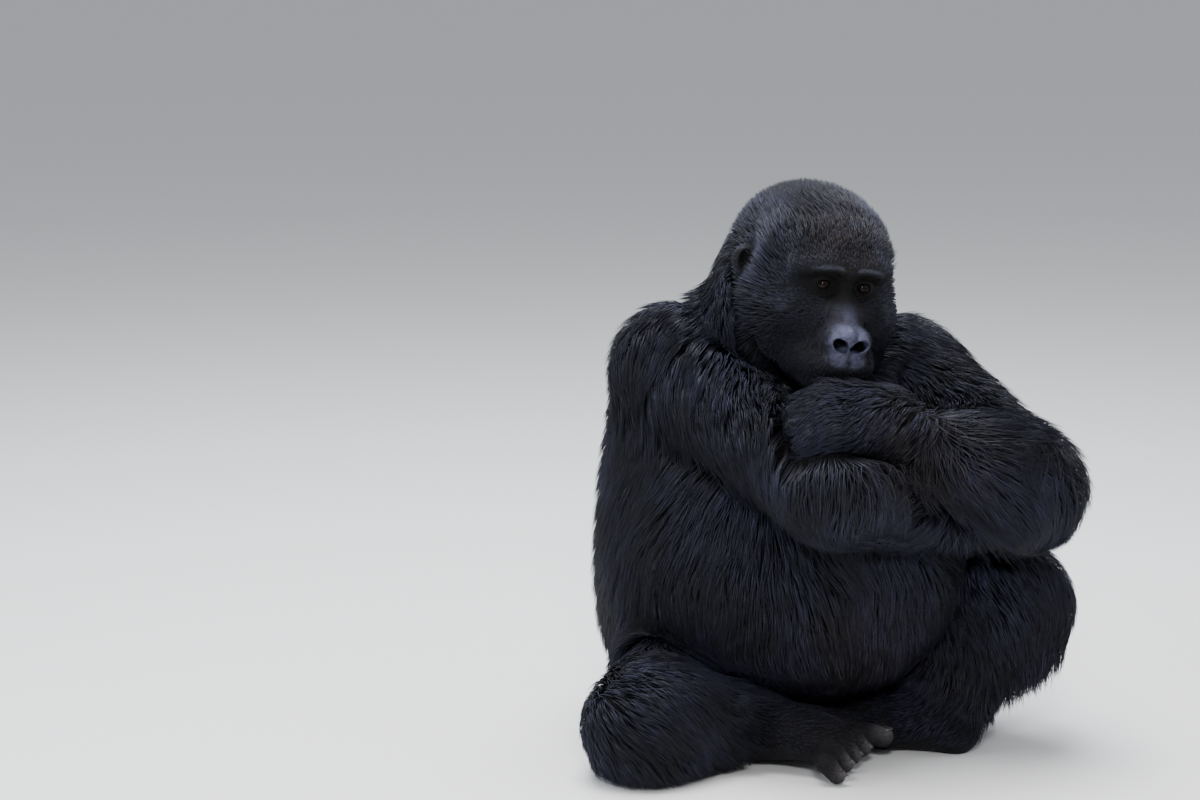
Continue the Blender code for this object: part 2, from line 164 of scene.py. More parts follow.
GROWTH: dict[Region, Growth] = {
    Region.HEAD: Growth(0.019, 0.036, 0.0015, 350000.0, 0.0042, 0.00),
    Region.FACE: Growth(0.006, 0.010, 0.0011, 350000.0, 0.0040, 0.00),
    Region.NAPE: Growth(0.030, 0.074, 0.0019, 220000.0, 0.0080, 0.10),
    Region.BACK: Growth(0.037, 0.084, 0.0026, 105000.0, 0.0120, 0.35),
    Region.BELLY: Growth(0.035, 0.078, 0.0021, 150000.0, 0.0100, 0.40),
    Region.SHOULDER: Growth(0.032, 0.082, 0.0021, 190000.0, 0.0100, 0.30),
    Region.UPPER_ARM: Growth(0.035, 0.080, 0.0020, 170000.0, 0.0100, 0.55),
    Region.FOREARM: Growth(0.033, 0.084, 0.0020, 190000.0, 0.0100, 0.70),
    Region.HAND: Growth(0.009, 0.032, 0.0015, 260000.0, 0.0080, 0.25),
    Region.DIGIT: Growth(0.003, 0.011, 0.0011, 150000.0, 0.0040, 0.10),
    Region.THIGH: Growth(0.021, 0.062, 0.0021, 170000.0, 0.0100, 0.60),
    Region.SHIN: Growth(0.019, 0.056, 0.0020, 180000.0, 0.0100, 0.60),
    Region.FOOT: Growth(0.004, 0.014, 0.0012, 190000.0, 0.0050, 0.10),
    Region.TOE: Growth(0.0015, 0.005, 0.0009, 25000.0, 0.0040, 0.10),
}

# where the hair parts round a joint: limbs, joint, heading of the pull and its reach
JOINT_COMBS: tuple[tuple[tuple[Limb, ...], Point, Point, float], ...] = (
    ((Limb.TRUNK, Limb.ARM_RIGHT), SHOULDER_RIGHT, (-1.70, 0.00, -1.30), 0.115),
    ((Limb.TRUNK, Limb.ARM_LEFT), SHOULDER_LEFT, (1.70, 0.00, -1.30), 0.115),
    ((Limb.ARM_RIGHT,), ELBOW_RIGHT, (0.25, 0.00, -1.80), 0.085),
    ((Limb.LEG_RIGHT,), KNEE_RIGHT, (1.60, -0.60, -0.60), 0.130),
    ((Limb.LEG_LEFT,), KNEE_LEFT, (0.40, -0.60, -0.40), 0.100),
)


# ---------------------------------------------------------------- numbers
def spin(pitch: float = 0.0, roll: float = 0.0, turn: float = 0.0) -> Array:
    """Rotation matrix: roll about Y, then pitch about X, then turn about Z.

    Args:
        pitch: degrees about X.
        roll: degrees about Y.
        turn: degrees about Z.

    Returns:
        A 3 by 3 matrix.
    """
    made = (Matrix.Rotation(math.radians(turn), 3, "Z")
            @ Matrix.Rotation(math.radians(pitch), 3, "X")
            @ Matrix.Rotation(math.radians(roll), 3, "Y"))
    return np.array(made)


HEAD_AXES = spin(HEAD_PITCH, HEAD_ROLL, HEAD_TURN)


def in_head(place: Point) -> Array:
    """Point given (forward, left, up) of the head's centre, in the model's frame."""
    forward, left, up = place
    return np.array(HEAD_CENTRE) + HEAD_AXES @ np.array((left, -forward, up))


def head_coordinates(points: Array) -> tuple[Array, Array, Array]:
    """Forward, left and up of the head's centre.

    Args:
        points: rows of model points.

    Returns:
        Three arrays of metres.
    """
    local = (points - np.array(HEAD_CENTRE)) @ HEAD_AXES
    return -local[:, 1], local[:, 0], local[:, 2]


def unit(vectors: Array) -> Array:
    """Rows scaled to length one."""
    return vectors / (np.linalg.norm(vectors, axis=-1, keepdims=True) + 1e-12)


def ease(low: float, high: float, value: Array) -> Array:
    """Smooth step from 0 at low to 1 at high."""
    share = np.clip((value - low) / (high - low), 0.0, 1.0)
    return share * share * (3.0 - 2.0 * share)


def bell(gap: Array, reach: float) -> Array:
    """Bell over a gap: 1 where the gap is nothing."""
    return np.exp(-((gap / reach) ** 2))


# ---------------------------------------------------------------- masses
@dataclass(frozen=True)
class Mass:
    """One soft mass of flesh, or one hollow if it carves."""

    blend: float
    region: Region
    comb: Point = DOWN
    carve: bool = False
    bald: Point = NO_LIE

    def join(self, so_far: Array, distance: Array) -> Array:
        """Melt this mass into, or carve it out of, the distances so far."""
        so_far = -so_far if self.carve else so_far
        near = np.maximum(self.blend - np.abs(so_far - distance), 0.0) / self.blend
        joined = np.minimum(so_far, distance) - near * near * self.blend * 0.25
        return -joined if self.carve else joined

    def box(self) -> tuple[Array, Array]:
        """Lowest and highest corner."""
        raise NotImplementedError

    def distance(self, x: Array, y: Array, z: Array) -> Array:
        """Signed distance, negative inside."""
        raise NotImplementedError


@dataclass(frozen=True)
class Ellipsoid(Mass):
    """Ellipsoid with its own lean."""

    centre: tuple[float, ...] = (0.0, 0.0, 0.0)
    radii: tuple[float, ...] = (0.1, 0.1, 0.1)
    lean: tuple[tuple[float, ...], ...] = ((1, 0, 0), (0, 1, 0), (0, 0, 1))

    def box(self) -> tuple[Array, Array]:
        """Lowest and highest corner."""
        reach = np.sqrt(((np.array(self.lean) * np.array(self.radii)) ** 2).sum(1))
        return np.array(self.centre) - reach, np.array(self.centre) + reach

    def distance(self, x: Array, y: Array, z: Array) -> Array:
        """Signed distance, near enough close to the surface."""
        dx, dy, dz = x - self.centre[0], y - self.centre[1], z - self.centre[2]
        near, far = FLOAT(1e-12), FLOAT(1e-9)
        for axis in range(3):
            row = [self.lean[i][axis] for i in range(3)]
            along = (dx * row[0] + dy * row[1] + dz * row[2]) / self.radii[axis]
            squared = along * along
            near = near + squared
            far = far + squared / self.radii[axis] ** 2
        near = np.sqrt(near)
        return near * (near - 1.0) / np.sqrt(far)


@dataclass(frozen=True)
class Taper(Mass):
    """Tapered limb with round ends."""

    start: tuple[float, ...] = (0.0, 0.0, 0.0)
    end: tuple[float, ...] = (0.0, 0.0, 1.0)
    start_radius: float = 0.1
    end_radius: float = 0.1

    def box(self) -> tuple[Array, Array]:
        """Lowest and highest corner."""
        first, last = np.array(self.start), np.array(self.end)
        low = np.minimum(first - self.start_radius, last - self.end_radius)
        high = np.maximum(first + self.start_radius, last + self.end_radius)
        return low, high

    def distance(self, x: Array, y: Array, z: Array) -> Array:
        """Signed distance to the limb."""
        run = [self.end[i] - self.start[i] for i in range(3)]
        length = sum(step * step for step in run)
        dx, dy, dz = x - self.start[0], y - self.start[1], z - self.start[2]
        share = np.clip((dx * run[0] + dy * run[1] + dz * run[2]) / length, 0.0, 1.0)
        gap = np.sqrt((dx - share * run[0]) ** 2 + (dy - share * run[1]) ** 2
                      + (dz - share * run[2]) ** 2)
        return gap - (self.start_radius + (self.end_radius - self.start_radius) * share)


def between(start: Sequence[float], end: Sequence[float]) -> Point:
    """Direction from one point to another."""
    return tuple(float(v) for v in unit(np.array(end) - np.array(start)))


def bone(region: Region, start: Sequence[float], end: Sequence[float],
         radii: tuple[float, float], blend: float, comb: Point | None = None,
         bald: Point = NO_LIE) -> Taper:
    """Limb segment whose hair runs from its start to its end unless told otherwise.

    Args:
        region: hair region.
        start: first end.
        end: second end.
        radii: radius at each end.
        blend: width of the melt.
        comb: lie of the hair, if it isn't along the segment.
        bald: side on which no hair grows.

    Returns:
        The segment.
    """
    return Taper(blend, region, comb or between(start, end), False, bald,
                 tuple(float(v) for v in start), tuple(float(v) for v in end), *radii)


def lean_of(matrix: Array) -> tuple[tuple[float, ...], ...]:
    """Matrix as nested tuples."""
    return tuple(tuple(float(v) for v in row) for row in matrix)


def head_blob(place: Point, radii: Point, blend: float, region: Region = Region.HEAD,
              lean: Array | None = None, carve: bool = False) -> Ellipsoid:
    """Ellipsoid in head directions.

    Args:
        place: forward, left and up of the head's centre.
        radii: forward, side and up radii.
        blend: width of the melt.
        region: hair region.
        lean: extra rotation in the head's own directions.
        carve: True for a hollow.

    Returns:
        The mass.
    """
    axes = HEAD_AXES if lean is None else HEAD_AXES @ lean
    return Ellipsoid(blend, region, NO_LIE, carve, centre=tuple(in_head(place)),
                     radii=(radii[1], radii[0], radii[2]), lean=lean_of(axes))


def mirrored(place: Point, side: float) -> Point:
    """The same place on the side wanted."""
    return place[0], side * place[1], place[2]


def face_mass(part: Sequence, side: float = 1.0, roll: float = 0.0,
              carve: bool = False) -> Mass:
    """Mass of the face in head directions.

    Args:
        part: place, radii and blend of a blob, or start, end, radii and blend of a rod.
        side: -1 on the right half of the face, 1 on the left.
        roll: degrees that a blob leans by, on the left half.
        carve: True for a hollow.

    Returns:
        The mass.
    """
    place, blend = mirrored(part[0], side), part[-1]
    if len(part) == 3:
        lean = spin(roll=side * roll) if roll else None
        return head_blob(place, part[1], blend, Region.FACE, lean, carve)
    return Taper(blend, Region.FACE, NO_LIE, carve, NO_LIE, tuple(in_head(place)),
                 tuple(in_head(mirrored(part[1], side))), *part[2])


@dataclass
class Anatomy:
    """Every mass of the animal, grouped by limb; fine masses shape only fine meshes."""

    coarse: dict[Limb, list[Mass]] = field(default_factory=dict)
    fine: dict[Limb, list[Mass]] = field(default_factory=dict)
    nails: list[tuple[Array, Array, Array, float]] = field(default_factory=list)

    def build(self) -> "Anatomy":
        """Fill in all groups."""
        for limb in Limb:
            self.coarse[limb], self.fine[limb] = [], []
        self.trunk()
        self.head()
        self.face()
        self.arm(Limb.ARM_RIGHT, (SHOULDER_RIGHT, ELBOW_RIGHT, WRIST_RIGHT),
                 (0.054, 0.040), (0.041, 0.026), (0.054, 0.058, 0.063))
        self.arm(Limb.ARM_LEFT, (SHOULDER_LEFT, ELBOW_LEFT, WRIST_LEFT),
                 (0.060, 0.048), (0.043, 0.028), (0.055, 0.059, 0.063))
        self.hand(Limb.ARM_RIGHT, WRIST_RIGHT, (0.060, 0.040, 0.010),
                  (0.20, -0.30, 0.90), 0.060)
        self.hand(Limb.ARM_LEFT, WRIST_LEFT, (-0.098, 0.026, 0.018),
                  (-0.10, -0.60, 0.80), 0.082)
        self.leg(Limb.LEG_RIGHT, (HIP_RIGHT, KNEE_RIGHT, ANKLE_RIGHT),
                 (0.078, 0.054), (0.053, 0.033))
        self.leg(Limb.LEG_LEFT, (HIP_LEFT, KNEE_LEFT, ANKLE_LEFT),
                 (0.092, 0.068), (0.064, 0.035))
        self.foot(Limb.LEG_RIGHT, (-0.178, -0.168, 0.036), ANKLE_RIGHT,
                  (-0.062, -0.255, 0.040),
                  ((-0.020, -0.214, 0.042), (0.028, -0.256, 0.034)),
                  ((-0.020, -0.256, 0.042), (-0.047, -0.278, 0.041),
                   (-0.073, -0.301, 0.038), (-0.097, -0.322, 0.031)),
                  (0.012, -0.009, -0.017))
        self.foot(Limb.LEG_LEFT, (0.140, -0.252, 0.031), ANKLE_LEFT,
                  (0.030, -0.176, 0.030),
                  ((0.050, -0.214, 0.030), (-0.002, -0.190, 0.024)),
                  ((-0.006, -0.165, 0.026), (-0.004, -0.145, 0.025),
                   (0.004, -0.125, 0.024), (0.016, -0.106, 0.023)),
                  (-0.014, 0.008, -0.012))
        return self

    def trunk(self) -> None:
        """Rump, belly, ribs, back and neck."""
        add = self.coarse[Limb.TRUNK].append
        for centre, radii, lean, region in (
            ((0.000, 0.020, 0.152), (0.202, 0.167, 0.128), 0.0, Region.BACK),
            ((-0.006, -0.080, 0.234), (0.222, 0.189, 0.134), 12.0, Region.BELLY),
            ((-0.006, 0.002, 0.285), (0.187, 0.171, 0.124), 0.0, Region.BACK),
            ((-0.014, -0.035, 0.372), (0.190, 0.168, 0.142), 10.0, Region.BELLY),
            ((-0.005, 0.022, 0.422), (0.158, 0.123, 0.092), 0.0, Region.BACK),
        ):
            add(Ellipsoid(0.08, region, DOWN, centre=centre, radii=radii,
                          lean=lean_of(spin(lean))))
        add(Taper(0.07, Region.NAPE, DOWN, start=(-0.004, -0.028, 0.490),
                  end=(-0.024, -0.080, 0.604), start_radius=0.101, end_radius=0.082))
        for shoulder, elbow, height in ((SHOULDER_RIGHT, ELBOW_RIGHT, 0.063),
                                        (SHOULDER_LEFT, ELBOW_LEFT, 0.061)):
            add(Ellipsoid(0.07, Region.SHOULDER, between(shoulder, elbow),
                          centre=shoulder, radii=(0.054, 0.058, height)))

    def head(self) -> None:
        """Skull, crown, cheeks, jaw and ears."""
        add, fine = self.coarse[Limb.TRUNK].append, self.fine[Limb.TRUNK].append
        for place, radii, blend in (
            ((-0.028, 0.0, 0.018), (0.102, 0.092, 0.078), 0.030),
            ((-0.045, 0.0, 0.040), (0.070, 0.070, 0.056), 0.030),
            ((0.043, 0.0, 0.047), (0.056, 0.070, 0.050), 0.020),
            ((0.046, 0.0, -0.004), (0.052, 0.066, 0.066), 0.022),
            ((0.062, 0.0, -0.094), (0.058, 0.050, 0.030), 0.020),
            ((0.010, 0.0, -0.072), (0.060, 0.056, 0.042), 0.030),
        ):
            add(head_blob(place, radii, blend))
        for side in (-1.0, 1.0):
            tilt = spin(turn=side * 32.0)
            add(head_blob((0.022, side * 0.0615, -0.043), (0.050, 0.037, 0.062), 0.024))
            add(head_blob((-0.011, side * 0.0998, 0.013), (0.0100, 0.0158, 0.0210),
                          0.005, Region.FACE, tilt))
            fine(head_blob((0.0008, side * 0.1035, 0.0148), (0.0114, 0.0099, 0.0158),
                           0.0015, Region.FACE, tilt, carve=True))
            fine(head_blob((-0.0015, side * 0.0971, 0.0050), (0.0050, 0.0050, 0.0065),
                           0.003, Region.FACE, tilt))

    def face(self) -> None:
        """Brow, lids, nose, muzzle and lips; the hollows come last."""
        coarse, fine = self.coarse[Limb.TRUNK].append, self.fine[Limb.TRUNK].append
        for part in (
            ((0.094, 0.0, -0.074), (0.056, 0.051, 0.037), 0.020),
            ((0.110, 0.0, -0.105), (0.034, 0.036, 0.018), 0.016),
            ((0.079, 0.0, 0.024), (0.098, 0.0, -0.010), (0.0150, 0.0180), 0.016),
            ((0.098, 0.0, -0.010), (0.124, 0.0, -0.038), (0.0180, 0.0205), 0.014),
        ):
            coarse(face_mass(part))
        for side in (-1.0, 1.0):
            for part in (
                ((0.075, 0.040, -0.024), (0.026, 0.028, 0.026), 0.018),
                ((0.090, 0.025, -0.030), (0.027, 0.021, 0.026), 0.014),
                ((0.0925, 0.006, 0.0400), (0.0945, 0.032, 0.0430), (0.0105, 0.0105),
                 0.018),
                ((0.0945, 0.032, 0.0430), (0.076, 0.060, 0.034), (0.0105, 0.0100),
                 0.018),
                ((0.129, 0.0180, -0.047), (0.0215, 0.0170, 0.0195), 0.006),
                ((0.122, 0.022, -0.078), (0.028, 0.024, 0.018), 0.012),
            ):
                coarse(face_mass(part, side))
        fine(face_mass(((0.143, 0.0, -0.040), (0.0115, 0.0105, 0.0150), 0.006)))
        fine(face_mass(((0.139, 0.0, -0.064), (0.0110, 0.0075, 0.0120), 0.006)))
        for side in (-1.0, 1.0):
            for part, roll, carve in (
                (((0.105, 0.029, 0.0165), (0.018, 0.0195, 0.0120), 0.008), 0.0, True),
                ((EYE_PLACE, (EYE_RADIUS + LID,) * 3, 0.004), 0.0, False),
                (((0.1010, 0.0280, 0.0154), (0.0118, 0.0130, 0.0078), 0.0018), 4.0,
                 True),
                (((0.1455, 0.0165, -0.0465), (0.0080, 0.0125, 0.0105), 0.0040), 0.0,
                 False),
                (((0.147, 0.0128, -0.0490), (0.0190, 0.0124, 0.0080), 0.0024), -30.0,
                 True),
            ):
                fine(face_mass(part, side, roll, carve))
            self.folds(side)
        lips = ((0.118, 0.0, -0.0925), (0.042, 0.047, 0.0016), 0.0045)
        fine(face_mass(lips, carve=True))

    def folds(self, side: float) -> None:
        """Creases beside the nose and under the eye."""
        chains = (
            (0.0021, ((0.114, 0.030, -0.026), (0.122, 0.037, -0.042),
                      (0.126, 0.0385, -0.058), (0.131, 0.034, -0.070))),
            (0.0013, ((0.1000, 0.014, 0.0040), (0.0995, 0.026, -0.0012),
                      (0.0945, 0.040, 0.0015))),
            (0.0013, ((0.1020, 0.016, -0.0030), (0.1000, 0.030, -0.0085),
                      (0.0920, 0.045, -0.0050))),
            (0.0013, ((0.1035, 0.019, -0.0100), (0.1005, 0.034, -0.0160),
                      (0.0925, 0.048, -0.0130))),
            (0.0008, ((0.106, 0.0150, 0.0080), (0.113, 0.0190, -0.0070),
                      (0.118, 0.0230, -0.0210))),
            (0.0009, ((0.102, 0.012, 0.0310), (0.1055, 0.026, 0.0330),
                      (0.0985, 0.044, 0.0300))),
            (0.0008, ((0.118, 0.0420, -0.052), (0.118, 0.0445, -0.066),
                      (0.116, 0.0440, -0.080))),
        )
        for radius, chain in chains:
            for first, last in zip(chain, chain[1:]):
                part = (first, last, (radius, radius), 0.0035)
                self.fine[Limb.TRUNK].append(face_mass(part, side, carve=True))

    def arm(self, limb: Limb, joints: tuple[Point, Point, Point],
            upper: tuple[float, float], lower: tuple[float, float],
            shoulder: Point) -> None:
        """Shoulder, upper arm and forearm; forearm hair runs back to the elbow."""
        top, elbow, wrist = joints
        add = self.coarse[limb].append
        add(Ellipsoid(0.04, Region.SHOULDER, between(top, elbow), centre=top,
                      radii=shoulder))
        add(bone(Region.UPPER_ARM, top, elbow, upper, 0.04))
        add(bone(Region.FOREARM, elbow, wrist, lower, 0.035, between(wrist, elbow)))

    def hand(self, limb: Limb, wrist: Point, along: Point, back: Point,
             palm: float) -> None:
        """Half-closed hand: palm, four curled fingers and a thumb."""
        forward = unit(np.array(along))
        across = unit(np.cross(forward, np.array(back)))
        outward = np.cross(across, forward)
        root = np.array(wrist)
        comb = between(root, root + forward)
        palm_side = between(outward, NO_LIE)
        add = self.coarse[limb].append

        def rod(start: Array, end: Array, first: float, last: float,
                region: Region = Region.HAND, blend: float = 0.010) -> None:
            add(bone(region, start, end, (first, last), blend, comb, palm_side))

        for place in (-1.5, -0.5, 0.5, 1.5):
            spread = across * place * 0.0225
            joint = root + forward * palm * (1.0 - 0.055 * place * place) + spread
            rod(root + spread * 0.55, joint, 0.021, 0.0165, blend=0.014)
            for step, (length, radius, curl) in enumerate(
                    zip((0.040, 0.030, 0.020), (0.0140, 0.0125, 0.0110),
                        (40.0, 105.0, 170.0))):
                bend = math.radians(curl)
                heading = forward * math.cos(bend) - outward * math.sin(bend)
                tip = joint + heading * length
                region = Region.HAND if step == 0 else Region.DIGIT
                rod(joint, tip, radius, radius * 0.93, region, 0.005)
                joint = tip
            upward = outward * math.cos(bend) + forward * math.sin(bend)
            self.nails.append((joint + upward * 0.0104 + heading * 0.002, heading,
                               upward, 0.0115))
        rod(root - forward * 0.02, root + forward * 0.02, 0.028, 0.028, blend=0.020)
        base = root + across * 0.030 - outward * 0.012
        middle = base + forward * 0.045 + across * 0.012
        tip = middle + forward * 0.028 - outward * 0.014
        rod(base, middle, 0.0125, 0.0122, Region.DIGIT)
        rod(middle, tip, 0.0120, 0.0102, Region.DIGIT, 0.005)
        self.nails.append((tip + across * 0.0102, unit(tip - middle), across, 0.0110))

    def leg(self, limb: Limb, joints: tuple[Point, Point, Point],
            upper: tuple[float, float], lower: tuple[float, float]) -> None:
        """Thigh and shin."""
        hip, knee, ankle = joints
        add = self.coarse[limb].append
        add(bone(Region.THIGH, hip, knee, upper, 0.05))
        add(bone(Region.SHIN, knee, ankle, lower, 0.04))

    def foot(self, limb: Limb, heel: Point, ankle: Point, ball: Point,
             hallux: tuple[Point, Point], toes: Iterable[Point], drop: Point) -> None:
        """Heel, instep, the big toe and four curled toes."""
        add = self.coarse[limb].append
        comb = between(heel, ball)
        heel_at, ankle_at, ball_at = np.array(heel), np.array(ankle), np.array(ball)

        def rod(start: Array, end: Array, first: float, last: float,
                region: Region = Region.FOOT, blend: float = 0.012) -> None:
            add(bone(region, start, end, (first, last), blend, comb, DOWN))

        def nail(base: Array, end: Array, rise: float, past: float,
                 size: float) -> None:
            run = unit(end - base)
            upward = unit(np.array((0.0, 0.0, 1.0)) - run * run[2])
            self.nails.append((end + upward * rise + run * past, run, upward, size))

        rod(heel_at, ankle_at, 0.031, 0.033, blend=0.02)
        rod(ankle_at, ball_at, 0.034, 0.0235, blend=0.02)
        rod(heel_at, ball_at, 0.030, 0.0240, blend=0.02)
        base, end = np.array(hallux[0]), np.array(hallux[1])
        rod(ankle_at, base, 0.030, 0.0215, blend=0.02)
        rod(base, end, 0.0170, 0.0135, Region.TOE)
        nail(base, end, 0.0134, 0.004, 0.0150)
        for knuckle in toes:
            bend = np.array(knuckle)
            root = ball_at * 0.55 + bend * 0.45
            tip = bend + np.array(drop)
            rod(ankle_at * 0.45 + root * 0.55, root, 0.0235, 0.0180, blend=0.014)
            rod(root, bend, 0.0160, 0.0132, Region.TOE, 0.006)
            rod(bend, tip, 0.0132, 0.0110, Region.TOE, 0.004)
            nail(bend, tip, 0.0110, 0.003, 0.0115)


@dataclass
class Flesh:
    """Distance to the skin, from all masses."""

    anatomy: Anatomy
    step: float = 0.0006
    carve_margin: float = 0.01

    def masses(self, limb: Limb, fine: bool) -> list[Mass]:
        """Masses of one limb, with or without the fine ones."""
        return self.anatomy.coarse[limb] + (self.anatomy.fine[limb] if fine else [])

    def at(self, points: Array) -> Array:
        """Distance of points to the skin, negative inside, fine shapes included."""
        x, y, z = points.astype(FLOAT).T
        nearest = np.full(len(points), FAR, FLOAT)
        for limb in Limb:
            found = np.full(len(points), FAR, FLOAT)
            for mass in self.masses(limb, True):
                found = mass.join(found, mass.distance(x, y, z))
            nearest = np.minimum(nearest, found)
        return nearest

    def slope(self, points: Array) -> Array:
        """Outward direction at points, fine shapes included."""
        corners = np.array(((1, 1, 1), (1, -1, -1), (-1, 1, -1), (-1, -1, 1)), float)
        total = np.zeros((len(points), 3))
        for corner in corners:
            total += self.at(points + corner * self.step)[:, None] * corner
        return unit(total)

    def grid(self, axes: list[Array], reach: float, fine: bool) -> Array:
        """Distances on a grid, each mass only where it can matter.

        Args:
            axes: grid lines along x, y and z.
            reach: how far from a mass its distance is wanted.
            fine: True to include the fine shapes.

        Returns:
            A three-dimensional array.
        """
        count = [len(axis) for axis in axes]
        nearest = np.full(count, FAR, FLOAT)
        for limb in Limb:
            found = np.full(count, FAR, FLOAT)
            for mass in self.masses(limb, fine):
                first, last = mass.box()
                margin = self.carve_margin if mass.carve else max(reach, mass.blend)
                part = tuple(slice(int(np.searchsorted(axis, low - margin)),
                                   int(np.searchsorted(axis, high + margin)))
                             for axis, low, high in zip(axes, first, last))
                if any(cut.stop <= cut.start for cut in part):
                    continue
                distance = mass.distance(axes[0][part[0]][:, None, None],
                                         axes[1][part[1]][None, :, None],
                                         axes[2][part[2]][None, None, :])
                found[part] = mass.join(found[part], distance)
            nearest = np.minimum(nearest, found)
        return nearest


CORNERS = np.array([[i, j, k] for i in (0, 1) for j in (0, 1) for k in (0, 1)])
EDGES = [(a, b) for a in range(8) for b in range(a + 1, 8)
         if np.abs(CORNERS[a] - CORNERS[b]).sum() == 1]


def surface_net(values: Array, axes: list[Array]) -> tuple[Array, Array]:
    """Quads along the zero level of a grid.

    Args:
        values: distances on the grid.
        axes: grid lines along x, y and z.

    Returns:
        Vertices, and rows of four vertex numbers that face outwards.
    """
    inside = values < 0
    shape = tuple(np.array(values.shape) - 1)
    count = np.zeros(shape, np.int8)
    for corner in CORNERS:
        count += inside[tuple(slice(c, c + n) for c, n in zip(corner, shape))]
    active = np.flatnonzero((count > 0) & (count < 8))
    cell = np.stack(np.unravel_index(active, shape), -1)
    at_corner = np.stack([values[tuple((cell + corner).T)] for corner in CORNERS], -1)
    total, crossings = np.zeros((len(active), 3)), np.zeros(len(active))
    for a, b in EDGES:
        crossed = (at_corner[:, a] < 0) != (at_corner[:, b] < 0)
        start, end = at_corner[crossed, a], at_corner[crossed, b]
        share = (start / (start - end))[:, None]
        total[crossed] += CORNERS[a] + share * (CORNERS[b] - CORNERS[a])
        crossings[crossed] += 1
    inner = cell + total / crossings[:, None]
    vertices = np.stack([np.interp(inner[:, i], np.arange(len(axes[i])), axes[i])
                         for i in range(3)], -1)
    quads = []
    for axis in range(3):
        others = ((axis + 1) % 3, (axis + 2) % 3)
        before, after = [slice(None)] * 3, [slice(None)] * 3
        before[axis], after[axis] = slice(0, -1), slice(1, None)
        for other in others:
            before[other] = after[other] = slice(1, -1)
        first, second = inside[tuple(before)], inside[tuple(after)]
        edge = np.argwhere(first != second)
        leaves = first[tuple(edge.T)]
        edge[:, others[0]] += 1
        edge[:, others[1]] += 1
        ring = []
        for du, dv in ((-1, -1), (0, -1), (0, 0), (-1, 0)):
            neighbour = edge.copy()
            neighbour[:, others[0]] += du
            neighbour[:, others[1]] += dv
            flat = np.ravel_multi_index(neighbour.T, shape)
            ring.append(np.searchsorted(active, flat))
        quad = np.stack(ring, -1)
        quad[~leaves] = quad[~leaves][:, ::-1]
        quads.append(quad)
    return vertices, np.concatenate(quads)


# ---------------------------------------------------------------- mesh helpers
def link(name: str, data: bpy.types.ID) -> Piece:
    """Object with a mesh, lamp or camera, linked to the scene."""
    made = bpy.data.objects.new(name, data)
    bpy.context.scene.collection.objects.link(made)
    return made


def mesh_of(name: str, vertices: Array, loops: Array, sizes: Array) -> Mesh:
    """Mesh from flat arrays.

    Args:
        name: mesh name.
        vertices: rows of points.
        loops: vertex numbers, face after face.
        sizes: corners of each face.

    Returns:
        The mesh, shaded smooth.
    """
    mesh = bpy.data.meshes.new(name)
    mesh.vertices.add(len(vertices))
    mesh.vertices.foreach_set("co", vertices.astype(FLOAT).ravel())
    mesh.loops.add(len(loops))
    mesh.loops.foreach_set("vertex_index", loops.astype(np.int32))
    mesh.polygons.add(len(sizes))
    starts = np.concatenate(([0], np.cumsum(sizes)[:-1]))
    mesh.polygons.foreach_set("loop_start", starts.astype(np.int32))
    mesh.update(calc_edges=True)
    mesh.polygons.foreach_set("use_smooth", np.ones(len(sizes), bool))
    return mesh


def give_attribute(mesh: Mesh, name: str, values: Array) -> None:
    """Store one number for each vertex."""
    made = mesh.attributes.new(name, "FLOAT", "POINT")
    made.data.foreach_set("value", values.astype(FLOAT))


def shade_like(piece: Piece, material: Material) -> None:
    """Give a piece its one material."""
    piece.data.materials.clear()
    piece.data.materials.append(material)


# ---------------------------------------------------------------- skin
def outer_shell(count: int, quads: Array) -> Array:
    """Which quads belong to the largest connected shell.

    Args:
        count: number of vertices.
        quads: rows of four vertex numbers.

    Returns:
        A mask over the quads.
    """
    edges = np.concatenate([quads[:, (i, (i + 1) % 4)] for i in range(4)])
    label = np.arange(count)
    while True:
        low = np.minimum(label[edges[:, 0]], label[edges[:, 1]])
        spread = label.copy()
        np.minimum.at(spread, edges[:, 0], low)
        np.minimum.at(spread, edges[:, 1], low)
        spread = spread[spread]
        if (spread == label).all():
            break
        label = spread
    return label[quads[:, 0]] == np.bincount(label[quads[:, 0]]).argmax()


def grid_line(stops: Sequence[tuple[float, float]]) -> Array:
    """Grid line whose spacing changes from stretch to stretch.

    Args:
        stops: place of each stretch's start with the spacing that follows it.

    Returns:
        Rising coordinates.
    """
    places = []
    for (start, spacing), (end, _) in zip(stops, stops[1:]):
        count = max(1, round((end - start) / spacing))
        places.append(np.linspace(start, end, count, endpoint=False))
    return np.concatenate(places + [[stops[-1][0]]]).astype(FLOAT)


@dataclass(frozen=True)
class Oval:
    """Oval on a side of the head, in metres across and up from the head's centre."""

    across: float
    up: float
    wide: float
    high: float

    def gap(self, across: Array, up: Array) -> Array:
        """Distance from the middle; 1 on the rim."""
        return np.sqrt(((across - self.across) / self.wide) ** 2
                       + ((up - self.up) / self.high) ** 2)


BARE_OVALS = (Oval(0.024, 0.0215, 0.035, 0.0225), Oval(0.0, -0.020, 0.027, 0.056),
              Oval(0.0, -0.050, 0.033, 0.026))
NOSE_WINGS, LIP = Oval(0.0, -0.046, 0.031, 0.025), Oval(0.0, -0.068, 0.030, 0.012)
SOCKET = Oval(0.026, 0.018, 0.030, 0.0195)
NOSTRIL = Oval(0.0130, -0.0490, 0.0115, 0.0080)
EAR = Oval(-0.006, 0.013, 0.0195, 0.0255)
BEHIND_EAR = Oval(-0.018, 0.012, 0.024, 0.030)
BEFORE_EAR = Oval(0.020, 0.004, 0.026, 0.030)


